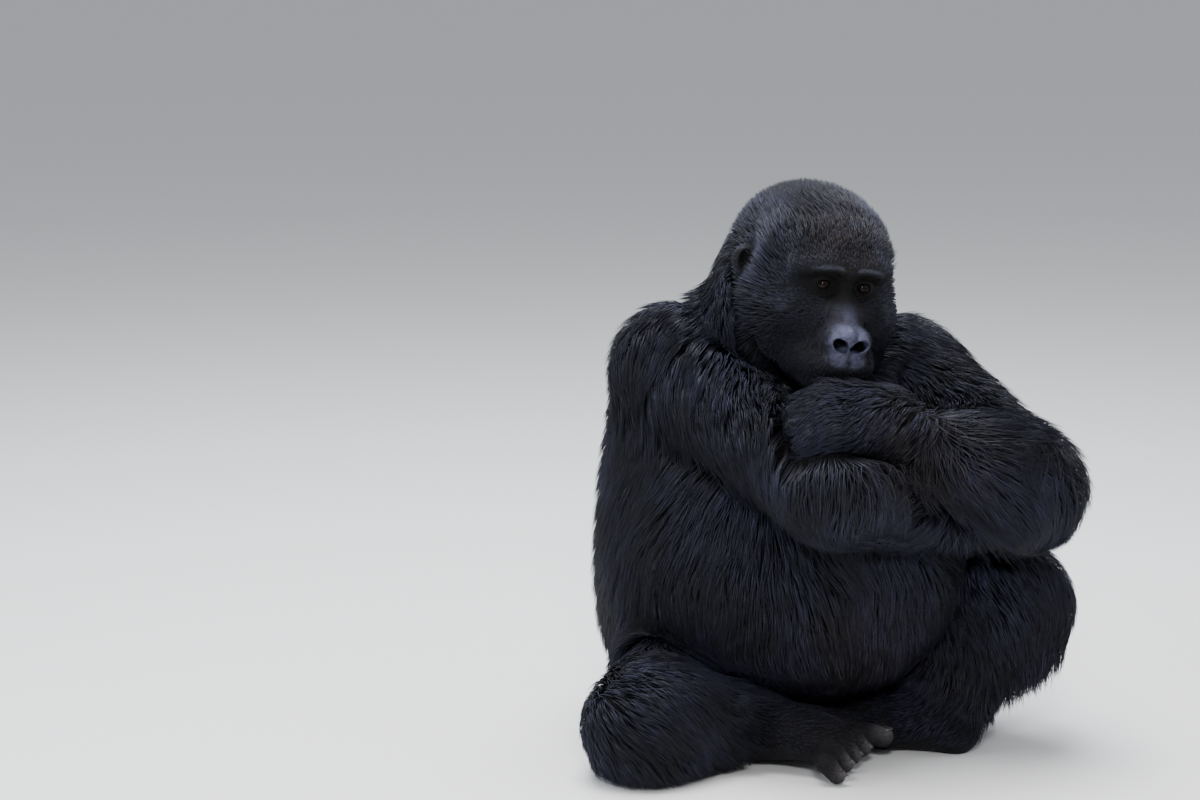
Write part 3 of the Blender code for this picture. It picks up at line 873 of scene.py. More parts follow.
@dataclass
class FaceMap:
    """Soft masks over the head, for bareness and colour."""

    points: Array
    reach: float = 0.22
    flank: float = 0.06

    def __post_init__(self) -> None:
        """Work out the head's own coordinates."""
        forward, left, up = head_coordinates(self.points)
        self.forward, self.up = forward, up
        self.side = np.abs(left)
        self.front = ease(0.020, 0.060, forward) * (np.sqrt(
            forward ** 2 + left ** 2 + up ** 2) < self.reach)

    def rim(self) -> Array:
        """How far from the bare part of the face: below 1 is bare."""
        return np.minimum.reduce([oval.gap(self.side, self.up) for oval in BARE_OVALS]
                                 ) + 4.0 * (1.0 - self.front)

    def ear(self) -> Array:
        """1 on and close round the ears."""
        return ease(0.086, 0.091, self.side) * (1.0 - ease(0.85, 1.20, self.ear_gap()))

    def ear_gap(self) -> Array:
        """Distance from the middle of the nearer ear; 1 just past its rim."""
        return EAR.gap(self.forward, self.up) + 50.0 * (self.side < self.flank)

    def ear_rim(self) -> Array:
        """1 on the outermost edge of the ears."""
        gap = self.ear_gap()
        return ease(0.45, 0.70, gap) * (1.0 - ease(0.95, 1.10, gap)) * ease(
            0.1008, 0.1068, self.side)

    def nose(self) -> Array:
        """1 on nose, bridge and upper lip: glossier skin with a painted reflection."""
        bridge = bell(self.side, 0.016) * (1.0 - ease(-0.022, 0.006, self.up))
        wings = 1.0 - ease(0.70, 1.15, NOSE_WINGS.gap(self.side, self.up))
        lip = 1.0 - ease(0.60, 1.20, LIP.gap(self.side, self.up))
        low = ease(-0.086, -0.074, self.up)
        return self.front * low * np.maximum.reduce((0.50 * bridge, wings, 0.80 * lip))

    def brow(self) -> Array:
        """1 where a highlight is painted: arcs over the eyes, 0.65 on the ear rims."""
        arc = self.up - 0.0425 + 9.0 * (self.side - 0.026) ** 2
        over_eye = self.front * bell(arc, 0.0034) * (1.0 - ease(
            0.036, 0.056, self.side)) * ease(0.007, 0.013, self.side)
        return np.maximum(over_eye, 0.65 * self.ear_rim())

    def shadow(self) -> Array:
        """1 round the eyes, in the nostrils and in the bowls of the ears."""
        socket = 1.0 - ease(0.80, 1.40, SOCKET.gap(self.side, self.up))
        nostril = 1.0 - ease(0.8, 1.2, NOSTRIL.gap(self.side, self.up))
        deep = ease(0.0, 0.006, 0.150 - self.forward)
        bowl = (1.0 - ease(0.45, 0.70, self.ear_gap())) * (
            1.0 - ease(0.1038, 0.1098, self.side)) * ease(0.088, 0.092, self.side)
        return np.maximum(self.front * np.maximum(socket, nostril * deep), 0.85 * bowl)


@dataclass
class Hide:
    """The one skin of the animal, from the face to the toes.

    It has no hole, but folds that touch share some edges, and two triangles
    by the right wrist are doubled.
    """

    flesh: Flesh
    triangles: int = 186000
    levels: int = 20
    net_reach: float = 0.012
    settling: float = 0.0012
    along_x: tuple[tuple[float, float], ...] = (
        (-0.375, 0.0042), (-0.205, 0.0030), (-0.137, 0.0019), (-0.100, 0.0014),
        (0.074, 0.0019), (0.108, 0.0030), (0.235, 0.0042), (0.335, 0.0))
    along_y: tuple[tuple[float, float], ...] = (
        (-0.435, 0.0026), (-0.318, 0.0013), (-0.195, 0.0020), (-0.100, 0.0046),
        (0.232, 0.0))
    along_z: tuple[tuple[float, float], ...] = (
        (-0.0144, 0.0026), (0.100, 0.0046), (0.290, 0.0030), (0.370, 0.0040),
        (0.440, 0.0026), (0.496, 0.0014), (0.606, 0.0010), (0.650, 0.0016),
        (0.686, 0.0030), (0.742, 0.0))

    def build(self) -> Piece:
        """Net, thin out, settle on the flesh, unwrap and mark."""
        axes = [grid_line(stops)
                for stops in (self.along_x, self.along_y, self.along_z)]
        values = self.flesh.grid(axes, self.net_reach, True)
        vertices, quads = surface_net(values, axes)
        quads = quads[outer_shell(len(vertices), quads)]
        used, quads = np.unique(quads, return_inverse=True)
        mesh = mesh_of("skin", vertices[used], quads.ravel(),
                       np.full(quads.size // 4, 4))
        piece = link("skin", mesh)
        self.thin_out(piece)
        self.settle(piece.data)
        self.unwrap(piece)
        self.mark(piece.data)
        LOG.info("skin: %d triangles", len(piece.data.polygons))
        return piece

    def thin_out(self, piece: Piece) -> None:
        """Fewer triangles, mostly under the coat."""
        mesh = piece.data
        points = points_of(mesh)
        face = FaceMap(points)
        feet = ease(-0.110, -0.090, -points[:, 2]) * ease(0.10, 0.14, -points[:, 1])
        hand = ease(0.30, 0.36, -points[:, 1]) * ease(0.40, 0.43, points[:, 2])
        keep = np.maximum.reduce((1.0 - ease(1.3, 2.4, face.rim()),
                                  0.55 * np.maximum(feet, hand), face.ear()))
        group = piece.vertex_groups.new(name="under_coat")
        level = np.round((1.0 - keep) * self.levels).astype(int)
        for step in range(1, self.levels + 1):
            chosen = np.flatnonzero(level == step)
            if len(chosen):
                group.add(chosen.tolist(), step / self.levels, "REPLACE")
        thin = piece.modifiers.new("thin", "DECIMATE")
        thin.ratio = self.triangles / (2.0 * len(mesh.polygons))
        thin.vertex_group = group.name
        thin.vertex_group_factor = 6.0
        thin.use_collapse_triangulate = True
        baked = bpy.data.meshes.new_from_object(
            piece.evaluated_get(bpy.context.evaluated_depsgraph_get()))
        piece.modifiers.clear()
        piece.data = baked
        piece.vertex_groups.clear()
        baked.polygons.foreach_set("use_smooth", np.ones(len(baked.polygons), bool))
        bpy.data.meshes.remove(mesh)

    def settle(self, mesh: Mesh) -> None:
        """Move every vertex onto the flesh, and flatten what touches the floor."""
        points = points_of(mesh)
        for _ in range(2):
            gap = np.clip(self.flesh.at(points), -self.settling, self.settling)
            points -= self.flesh.slope(points) * gap[:, None]
        points[:, 2] = np.maximum(points[:, 2], SKIN_FLOOR)
        mesh.vertices.foreach_set("co", points.astype(FLOAT).ravel())
        mesh.update()

    @staticmethod
    def unwrap(piece: Piece) -> None:
        """Unwrap the skin's own shape."""
        bpy.context.view_layer.objects.active = piece
        piece.select_set(True)
        bpy.ops.object.mode_set(mode="EDIT")
        bpy.ops.mesh.select_all(action="SELECT")
        bpy.ops.uv.smart_project(angle_limit=math.radians(75.0), island_margin=0.002)
        bpy.ops.object.mode_set(mode="OBJECT")
        piece.select_set(False)
        piece.data.uv_layers[0].name = "OFBake"

    def mark(self, mesh: Mesh) -> None:
        """Store the masks that the skin's finish reads."""
        points = points_of(mesh)
        face = FaceMap(points)
        for name, mask in (("nose", face.nose()), ("brow", face.brow()),
                           ("shadow", face.shadow()), ("pad", self.pads(points))):
            give_attribute(mesh, name, mask)

    def pads(self, points: Array) -> Array:
        """1 on the pale ends of the toes."""
        total = np.zeros(len(points))
        for place, _, _, size in self.flesh.anatomy.nails:
            if place[2] < 0.1:
                gap = np.linalg.norm(points - place, axis=1)
                total = np.maximum(total, bell(gap, 1.1 * size))
        return total


def points_of(mesh: Mesh) -> Array:
    """Vertices as rows."""
    flat = np.empty(len(mesh.vertices) * 3, FLOAT)
    mesh.vertices.foreach_get("co", flat)
    return flat.reshape(-1, 3).astype(float)


# ---------------------------------------------------------------- coat
@dataclass
class Lattice:
    """Height above the skin, looked up on an even grid."""

    flesh: Flesh
    low: Point = (-0.420, -0.500, -0.060)
    high: Point = (0.390, 0.290, 0.800)
    step: float = 0.0045
    reach: float = 0.075
    stride: float = 0.03

    def __post_init__(self) -> None:
        """Fill the grid."""
        axes = [np.arange(a, b, self.step, FLOAT) for a, b in zip(self.low, self.high)]
        self.values = self.flesh.grid(axes, self.reach, False)

    def height(self, points: Array) -> Array:
        """Height at points, between grid values."""
        place = (points - np.array(self.low)) / self.step
        place = np.clip(place, 0.0, np.array(self.values.shape) - 1.001)
        cell = place.astype(int)
        share = place - cell
        total = np.zeros(len(points))
        for corner in CORNERS:
            weight = np.prod(np.where(corner, share, 1.0 - share), axis=1)
            total += weight * self.values[tuple((cell + corner).T)]
        return total

    def slope(self, points: Array) -> Array:
        """Outward direction at points."""
        steps = np.eye(3) * self.step
        return unit(np.stack([self.height(points + way) - self.height(points - way)
                              for way in steps], -1))

    def lift(self, points: Array, height: Array, hang: Array) -> Array:
        """Points moved along the slope to the heights wanted.

        Args:
            points: rows of points.
            height: wanted height of each.
            hang: 1 where a point may stay higher, as hair that hangs free.

        Returns:
            The moved rows.
        """
        for _ in range(2):
            off = np.clip(height - self.height(points), -self.stride, self.stride)
            off = np.where(off < 0.0, off * (1.0 - hang), off)
            points = points + self.slope(points) * off[:, None]
        return points


@dataclass
class Roots:
    """Where tufts grow, and how."""

    place: Array
    patch: Array
    lie: Array
    rows: Array
    limb: Array


@dataclass
class Coat:
    """Hair of the whole body, as thin solid tufts in overlapping layers."""

    flesh: Flesh
    hide: Piece
    tufts: int = 146000
    per_piece: int = 19600
    region_melt: float = 0.014
    lie_melt: float = 0.030
    head_reach: float = 0.165
    shoulder_band: tuple[float, float] = (0.36, 0.50)
    trunk_reach: float = 0.16
    tuck_reach: float = 0.075
    neck_height: float = 0.55
    floor_band: tuple[float, float] = (0.16, 0.26)
    waves_in_swirl: int = 14
    lock_unit: float = 0.004
    lock_pulls: tuple[tuple[float, Point], ...] = (
        (2.6, (0.0, 0.12, 0.28)), (1.0, (0.05, 0.20, 0.36)))
    segments: tuple[tuple[float, float], ...] = (
        (0.40, 0.56), (0.36, 0.88), (0.24, 1.0))

    def __post_init__(self) -> None:
        """List the masses that hair grows on."""
        self.random = np.random.default_rng(SEED)
        self.masses = [(LIMB_ORDER[limb], mass) for limb in Limb
                       for mass in self.flesh.anatomy.coarse[limb]]
        self.lattice = Lattice(self.flesh)

    def growth(self, points: Array, normals: Array) -> tuple[Array, Array, Array]:
        """Growth numbers, lie of the hair and limb at points on the skin.

        Args:
            points: rows of points.
            normals: outward rows.

        Returns:
            Rows of growth numbers, rows of lie, and limb numbers.
        """
        x, y, z = points.astype(FLOAT).T
        distances = np.stack([mass.distance(x, y, z) for _, mass in self.masses], -1)
        owners = np.array([order for order, _ in self.masses])
        limb = owners[distances.argmin(1)]
        gaps = distances - distances.min(1, keepdims=True)
        gaps[owners[None, :] != limb[:, None]] = OTHER_LIMB
        table = np.array([astuple(GROWTH[mass.region]) for _, mass in self.masses])
        near = bell(gaps, self.region_melt)
        rows = near @ table / near.sum(1, keepdims=True)
        bald = unit(np.array([mass.bald for _, mass in self.masses]))
        facing = (near @ bald / near.sum(1, keepdims=True) * normals).sum(1)
        rows[:, DENSITY] *= 1.0 - ease(0.05, 0.45, facing)
        wide = bell(gaps, self.lie_melt)
        combs = np.array([mass.comb for _, mass in self.masses])
        lie = wide @ combs / wide.sum(1, keepdims=True)
        upper = on_limbs(limb, Limb.TRUNK)[:, None] * ease(
            *self.shoulder_band, points[:, 2:])
        outward = np.clip((points[:, :2] - TRUNK_AXIS) / self.trunk_reach, -1.0, 1.0)
        lie[:, :2] += outward * upper
        for limbs, joint, heading, reach in JOINT_COMBS:
            gap = np.linalg.norm(points - joint, axis=1)
            pull = bell(gap, reach) * on_limbs(limb, *limbs)
            lie += pull[:, None] * heading
        on_head = near @ np.array([float(mass.region in (Region.HEAD, Region.FACE))
                                   for _, mass in self.masses]) / near.sum(1)
        lie = lie * (1.0 - on_head)[:, None] + self.head_lie(points) * on_head[:, None]
        self.trim_face(points, rows, on_head)
        to_trunk = distances[:, owners == LIMB_ORDER[Limb.TRUNK]].min(1)
        tucked = (1.0 - ease(0.0, self.tuck_reach, to_trunk)) * on_limbs(
            limb, Limb.LEG_RIGHT, Limb.LEG_LEFT)
        rows[:, DEPTH] *= 1.0 - 0.40 * tucked
        return rows, lie, limb

    @staticmethod
    def head_lie(points: Array) -> Array:
        """Hair runs away from the face, over the crown and down the cheeks."""
        forward, left, up = head_coordinates(points)
        away = unit(np.stack((left * 1.15, -(forward - 0.105), up + 0.012), -1))
        drop = ease(0.02, 0.11, -up) * 0.8 + ease(0.03, 0.10, -forward) * 0.9
        away[:, 1] += 0.9 * ease(0.035, 0.065, up)
        away[:, 2] -= drop
        return unit(away @ HEAD_AXES.T)

    @staticmethod
    def trim_face(points: Array, rows: Array, on_head: Array) -> None:
        """Shorten the hair towards the bare face and ears and thin it out there."""
        face = FaceMap(points)
        rim, head = face.rim(), on_head > 0.5
        grown = ease(1.0, 4.4, rim)
        near, sparse = head & (rim < 4.4), head & (rim < 2.6)
        for column, shortest in ((DEPTH, 0.0020), (LENGTH, 0.0070), (WIDTH, 0.0009),
                                 (CLUMP, 0.0040)):
            longest = astuple(GROWTH[Region.HEAD])[column]
            rows[near, column] = (shortest + (longest - shortest) * grown)[near]
        rows[sparse, DENSITY] = (420000.0 * ease(0.88, 1.10, rim))[sparse]
        lips = (face.up < -0.064) & near
        rows[lips, DEPTH], rows[lips, LENGTH] = rows[lips, DEPTH] * 0.8, 0.0075
        for oval, inner, outer, lower, shorter in (
            (BEHIND_EAR, 1.0, 2.2, 0.60, 0.65), (BEFORE_EAR, 0.5, 1.3, 0.22, 0.25),
        ):
            beside = 1.0 - ease(inner, outer, oval.gap(face.forward, face.up))
            beside = beside * head * (face.side > face.flank)
            rows[:, DEPTH] *= 1.0 - lower * beside
            rows[:, LENGTH] *= 1.0 - shorter * beside
        ear = face.ear() * head
        rows[:, DENSITY] *= 1.0 - 0.90 * ease(0.3, 0.8, ear)
        for column, short in ((DEPTH, 0.0024), (LENGTH, 0.0100), (WIDTH, 0.0009)):
            rows[:, column] += (short - rows[:, column]) * ease(0.1, 0.7, ear)

    def sow(self) -> Roots:
        """Spread roots evenly over the skin, as dense as each place wants."""
        mesh = self.hide.data
        count = len(mesh.polygons)
        corners = np.empty(count * 3, np.int32)
        mesh.loops.foreach_get("vertex_index", corners)
        corners = corners.reshape(-1, 3)
        points = points_of(mesh)[corners]
        unwrap = np.empty(count * 6, FLOAT)
        mesh.uv_layers["OFBake"].data.foreach_get("uv", unwrap)
        unwrap = unwrap.reshape(-1, 3, 2)
        cross = np.cross(points[:, 1] - points[:, 0], points[:, 2] - points[:, 0])
        area = np.linalg.norm(cross, axis=1) * 0.5
        middle = points.mean(1)
        rows, _, _ = self.growth(middle, unit(cross))
        wanted = area * rows[:, DENSITY] * (middle[:, 2] > 10.0 * SKIN_FLOOR)
        LOG.info("skin %.3f m2, coat wants %d tufts", area.sum(), wanted.sum())
        wanted *= self.tufts / wanted.sum()
        marks = np.arange(self.tufts) + 0.5
        chosen = np.searchsorted(np.cumsum(wanted), marks).clip(0, count - 1)
        first, second = self.random.random((2, len(chosen)))
        flip = first + second > 1.0
        first = np.where(flip, 1 - first, first)
        second = np.where(flip, 1 - second, second)
        share = np.stack((1 - first - second, first, second), -1)[:, :, None]
        place = (points[chosen] * share).sum(1)
        rows, lie, limb = self.growth(place, unit(cross)[chosen])
        return Roots(place, (unwrap[chosen] * share).sum(1), lie, rows, limb)

    def swirl(self, points: Array) -> Array:
        """Slow random drift of the lie."""
        phase = points @ self.waves[:, :3].T + self.waves[:, 3]
        return np.sin(phase) @ self.waves[:, 4:] / math.sqrt(len(self.waves))

    def nodes(self, roots: Roots) -> tuple[list[Array], Array]:
        """Root, two bends and tip of every tuft.

        Args:
            roots: where and how they grow.

        Returns:
            Four arrays of points, and widths.
        """
        depth, length, width, _, clump, gravity = roots.rows.T
        count = len(depth)
        jitter = self.random.normal(size=(count, 3))
        slope = self.lattice.slope(roots.place)
        way, crown = self.way(roots, slope, jitter)
        grown = self.random.lognormal(0.0, 0.15, count)
        length = length * grown
        depth = depth * np.clip(grown, 0.6, 1.25) ** 0.8
        depth = depth * (1.0 - 0.12 * crown * (roots.place[:, 2] < 0.58))
        hang = ease(-0.15, 0.35, -slope[:, 2]) * ease(0.15, 0.30, gravity)
        hang *= np.where(on_limbs(roots.limb, Limb.ARM_RIGHT, Limb.ARM_LEFT), 0.35, 1.0)
        start, bends = roots.place - slope * ROOT_SINK, []
        place, blocked, risen = start, np.zeros(count), self.segments[0][1]
        heading = unit(way + slope * 0.9)
        for share, height in self.segments:
            place = place + heading * (length * share)[:, None]
            sunk = depth * height - self.lattice.height(place)
            wall = ease(0.008, 0.020, sunk - depth * (height - risen))
            blocked, risen = np.maximum(blocked, wall), height
            place = self.lattice.lift(place, depth * height, hang)
            bends.append(place)
            local = self.lattice.slope(place)
            turned = way + roots.lie * 0.25
            turned[:, 2] -= gravity * (0.5 + 1.5 * hang)
            inward = (turned * local).sum(1, keepdims=True)
            heading = unit(turned - local * inward * (1.0 - hang[:, None]))
        blocked *= ease(*self.floor_band, roots.place[:, 2])
        length = length * (1.0 - 0.65 * blocked)
        bends = self.settle(start, slope, self.gather(roots, bends, clump), length)
        return [start] + bends, width * (0.75 + 0.5 * self.random.random(count))

    def way(self, roots: Roots, slope: Array, jitter: Array) -> tuple[Array, Array]:
        """Heading of each tuft along the skin.

        Args:
            roots: where and how they grow.
            slope: outward rows.
            jitter: random rows, one for each tuft.

        Returns:
            Rows of unit length, and 1 where the hair would part on a crown.
        """
        depth, gravity = roots.rows[:, DEPTH], roots.rows[:, -1]
        drift = 0.25 + 0.30 * ease(0.016, 0.030, depth)
        way = roots.lie + self.swirl(roots.place) * drift[:, None]
        way[:, 2] -= gravity
        way = unit(way)
        flat = way - slope * (way * slope).sum(1, keepdims=True)
        crown = 1.0 - ease(0.05, 0.32, np.linalg.norm(flat, axis=1, keepdims=True))
        flat = unit(flat) * np.maximum(1.0 - crown, 0.2)
        apart = unit(roots.place - np.array(TRUNK_AXIS + (0.0,))) * (1.0, 1.0, 0.0)
        below_head = (roots.place[:, 2] < self.neck_height)[:, None]
        loose = (0.12 + 0.10 * crown) * np.clip(depth / 0.030, 0.5, 1.0)[:, None]
        way = flat + apart * crown * below_head + jitter * loose
        way = unit(way - slope * (way * slope).sum(1, keepdims=True))
        return way, crown[:, 0]

    @staticmethod
    def settle(start: Array, slope: Array, bends: list[Array],
               length: Array) -> list[Array]:
        """Shorten tufts that stand on end or that a crease has stretched."""
        chord = bends[-1] - start
        span = np.linalg.norm(chord, axis=1)
        steep = 1.0 - 0.65 * ease(0.78, 0.95, (chord * slope).sum(1) / span)
        kept = steep * np.minimum(1.0, 1.05 * length / span)
        return [start + (bend - start) * kept[:, None] for bend in bends]

    def gather(self, roots: Roots, bends: list[Array], clump: Array) -> list[Array]:
        """Draw the ends of neighbouring tufts into large locks, then small ones."""
        for scale, pulls in self.lock_pulls:
            wander = self.swirl(roots.place * 3.0 / scale) * 0.6
            steps = np.round(np.log2(clump * scale / self.lock_unit) * 2.0)
            size = self.lock_unit * 2.0 ** (steps / 2.0)
            cells = np.floor(roots.place / size[:, None] + wander).astype(np.int64)
            key = roots.limb.astype(np.int64)
            for column, base in zip(cells.T, (8 * 4001 * 4001, 8 * 4001, 8)):
                key = key + column * base
            _, owner = np.unique(key, return_inverse=True)
            members = np.bincount(owner)
            bends = [self.drawn(bend, owner, members, pull)
                     for bend, pull in zip(bends, pulls)]
        return bends

    @staticmethod
    def drawn(bend: Array, owner: Array, members: Array, pull: float) -> Array:
        """Points drawn a part of the way to the middle of their group."""
        heart = np.stack([np.bincount(owner, axis) / members for axis in bend.T], -1)
        moved = bend + (heart[owner] - bend) * pull
        moved[:, 2] = np.maximum(moved[:, 2], HAIR_FLOOR)
        return moved

    def build(self) -> list[Piece]:
        """Grow all tufts, in pieces named for their place on the body."""
        count = self.waves_in_swirl
        self.waves = np.concatenate((
            self.random.normal(0.0, 34.0, (count, 3)),
            self.random.uniform(0.0, 6.28, (count, 1)),
            self.random.normal(0.0, 1.0, (count, 3))), axis=1)
        roots = self.sow()
        nodes, width = self.nodes(roots)
        tone = self.random.random(len(width))
        pieces = []
        for name, chosen in self.shares(roots):
            pieces.append(self.weave(name, [node[chosen] for node in nodes],
                                     width[chosen], roots.patch[chosen], tone[chosen]))
            LOG.info("%s: %d tufts", name, len(chosen))
        return pieces

    def shares(self, roots: Roots) -> Iterable[tuple[str, Array]]:
        """Tufts of each piece: limb by limb, cut again where a limb has too many."""
        head = head_coordinates(roots.place)
        on_head = on_limbs(roots.limb, Limb.TRUNK) & (
            np.sqrt(sum(c * c for c in head)) < self.head_reach)
        for limb in Limb:
            parts = [(limb.value, on_limbs(roots.limb, limb) & ~on_head)]
            if limb is Limb.TRUNK:
                parts.append(("head", on_head))
            for name, mask in parts:
                members = np.flatnonzero(mask)
                members = members[np.argsort(roots.place[members, 2], kind="stable")]
                cuts = -(-len(members) // self.per_piece)
                for number, share in enumerate(np.array_split(members, cuts)):
                    suffix = f"_{number + 1}" if cuts > 1 else ""
                    yield f"coat_{name}{suffix}", share

    @staticmethod
    def weave(name: str, nodes: list[Array], width: Array, patch: Array,
              tone: Array) -> Piece:
        """One mesh of closed three-sided tufts, their faces turned inwards.

        Args:
            name: piece name.
            nodes: root, bend and tip of each tuft.
            width: width at the root.
            patch: place of each root on the skin's unwrap.
            tone: shade of each tuft.

        Returns:
            The piece.
        """
        count = len(width)
        root, bend, tip = nodes[0], 0.45 * nodes[1] + 0.55 * nodes[2], nodes[3]
        along = unit(tip - root)
        across = unit(np.cross(along, bend - 0.5 * (root + tip) + 1e-6))
        over = np.cross(across, along)
        half, crest = across * width[:, None] * 0.5, over * width[:, None] * 0.42
        rings = []
        for centre, share in ((root, 0.8), (bend, 0.72)):
            rings += [centre - half * share, centre + half * share,
                      centre + crest * share]
        vertices = np.stack(rings + [tip], 1).reshape(-1, 3)
        quads = np.array(((0, 1, 4, 3), (1, 2, 5, 4), (2, 0, 3, 5)))
        ends = np.array(((3, 4, 6), (4, 5, 6), (5, 3, 6), (0, 2, 1)))
        base = (np.arange(count) * TUFT_POINTS)[:, None]
        loops = np.concatenate((quads.ravel() + base, ends.ravel() + base), 1).ravel()
        sizes = [4] * len(quads) + [3] * len(ends)
        mesh = mesh_of(name, vertices, loops, np.tile(sizes, count))
        steps = np.array(((0.0, 0.0), (1.0, 0.0), (0.5, 0.0), (0.2, 0.6), (0.8, 0.6),
                          (0.5, 0.6), (0.5, 1.0))) - 0.5
        placed = (patch[:, None, :] + steps[None] * PATCH).reshape(-1, 2)
        layer = mesh.uv_layers.new(name="OFBake")
        layer.data.foreach_set("uv", placed[loops].astype(FLOAT).ravel())
        give_attribute(mesh, "tone", np.repeat(tone, TUFT_POINTS))
        give_attribute(mesh, "reach", np.tile((0.0,) * 3 + (0.6,) * 3 + (1.0,), count))
        return link(name, mesh)


# ---------------------------------------------------------------- eyes and nails
@dataclass
class Eye:
    """Eyeball with a raised cornea; its axis aims where the animal looks."""

    name: str
    side: float
    aim: Point = (0.97, 0.06, -0.03)
    cornea: float = 0.0009
    cornea_angle: float = 0.52
    rings: int = 40
    segments: int = 48

    def build(self) -> Piece:
        """Sphere of rings round the axis, with the angle from the axis stored."""
        centre = in_head(mirrored(EYE_PLACE, self.side))
        axis = unit(in_head(self.aim) - in_head((0.0, 0.0, 0.0)))
        across = unit(np.cross(axis, np.array((0.0, 0.0, 1.0))))
        over = np.cross(across, axis)
        angle = np.linspace(0.0, math.pi, self.rings + 1)[1:-1]
        turn = np.linspace(0.0, 2 * math.pi, self.segments, endpoint=False)
        radius = EYE_RADIUS + self.cornea * np.exp(-((angle / self.cornea_angle) ** 4))
        rows = [centre + axis * (EYE_RADIUS + self.cornea)]
        for each, reach in zip(angle, radius):
            ring = np.cos(turn)[:, None] * across + np.sin(turn)[:, None] * over
            spread = math.cos(each) * axis + math.sin(each) * ring
            rows.extend(centre + reach * spread)
        rows.append(centre - axis * EYE_RADIUS)
        faces = self.faces()
        mesh = bpy.data.meshes.new(self.name)
        mesh.from_pydata([tuple(row) for row in rows], [], faces)
        mesh.polygons.foreach_set("use_smooth", np.ones(len(faces), bool))
        give_attribute(mesh, "off_axis", np.concatenate(
            ([0.0], np.repeat(angle, self.segments), [math.pi])))
        return link(self.name, mesh)

    def faces(self) -> list[tuple[int, ...]]:
        """Quads between rings and triangles at the poles, facing out."""
        last = (self.rings - 2) * self.segments
        faces: list[tuple[int, ...]] = []
        for step in range(self.segments):
            after = (step + 1) % self.segments
            faces.append((0, 1 + after, 1 + step))
            faces.append((last + 1 + self.segments, last + 1 + step, last + 1 + after))
            for ring in range(self.rings - 2):
                low = 1 + ring * self.segments
                faces.append((low + step, low + after, low + self.segments + after,
                              low + self.segments + step))
        return faces


@dataclass
class Nails:
    """Flat domed nails on every finger and toe, placed by geometry nodes."""

    anatomy: Anatomy
    width: float = 0.92
    thickness: float = 0.24
    arch: float = 16.0

    def build(self) -> Piece:
        """Instance one nail on every digit and keep the result as a mesh."""
        spots, headings, outwards, sizes = zip(*self.anatomy.nails)
        carrier = link("nail_beds", mesh_points(spots))
        for name, rows in (("heading", headings), ("outward", outwards)):
            made = carrier.data.attributes.new(name, "FLOAT_VECTOR", "POINT")
            made.data.foreach_set("vector", np.array(rows).astype(FLOAT).ravel())
        give_attribute(carrier.data, "size", np.array(sizes))
        grow = carrier.modifiers.new("nails", "NODES")
        grow.node_group = self.tree()
        wanted = {"Width": self.width, "Thickness": self.thickness, "Arch": self.arch,
                  "Finish": NailFinish().material()}
        for item in grow.node_group.interface.items_tree:
            if item.name in wanted:
                grow[item.identifier] = wanted[item.name]
        mesh = bpy.data.meshes.new_from_object(
            carrier.evaluated_get(bpy.context.evaluated_depsgraph_get()))
        bpy.data.objects.remove(carrier)
        mesh.name = "nails"
        LOG.info("nails: %d", len(spots))
        return link("nails", mesh)

    @staticmethod
    def tree() -> Tree:
        """Node tree that shapes one nail and sets it on each point."""
        net, given, out = new_tree(
            "set_nails", "GeometryNodeTree",
            {"Geometry": "Geometry", "Width": "Float", "Thickness": "Float",
             "Arch": "Float", "Finish": "Material"}, {"Geometry": "Geometry"})
        ball = net.add("GeometryNodeMeshUVSphere", Segments=12, Rings=7, Radius=0.5)
        scale = net.add("ShaderNodeCombineXYZ", X=1.0, Y=given["Width"],
                        Z=given["Thickness"])
        flat = net.add("GeometryNodeTransform", Geometry=ball, Scale=scale)
        place = net.add("ShaderNodeSeparateXYZ",
                        Vector=net.add("GeometryNodeInputPosition"))
        bow = net.math("MULTIPLY", net.math("MULTIPLY", place["Y"], place["Y"]),
                       given["Arch"])
        sink = net.add("ShaderNodeCombineXYZ", Z=net.scaled(bow, -0.06))
        bent = net.add("GeometryNodeSetPosition", Geometry=flat, Offset=sink)
        first = net.add("FunctionNodeAlignRotationToVector", axis="X",
                        Vector=net.named("heading", "FLOAT_VECTOR"))
        second = net.add("FunctionNodeAlignRotationToVector", axis="Z", pivot_axis="X",
                         Rotation=first, Vector=net.named("outward", "FLOAT_VECTOR"))
        spread = net.add("GeometryNodeInstanceOnPoints", Points=given["Geometry"],
                         Instance=bent, Rotation=second,
                         Scale=net.named("size", "FLOAT"))
        real = net.add("GeometryNodeRealizeInstances", Geometry=spread)
        smooth = net.add("GeometryNodeSetShadeSmooth", Geometry=real)
        dressed = net.add("GeometryNodeSetMaterial", Geometry=smooth,
                          Material=given["Finish"])
        net.wire(out.node, Geometry=dressed)
        return net.tree


def mesh_points(places: Iterable[Array]) -> Mesh:
    """Mesh of loose points."""
    mesh = bpy.data.meshes.new("points")
    mesh.from_pydata([tuple(place) for place in places], [], [])
    return mesh


# ---------------------------------------------------------------- finishes
@dataclass(frozen=True)
class Outlet:
    """A node whose outputs are read by name."""

    node: bpy.types.Node

    def __getitem__(self, name: str) -> Socket:
        """Output socket of that name."""
        return self.node.outputs[name]


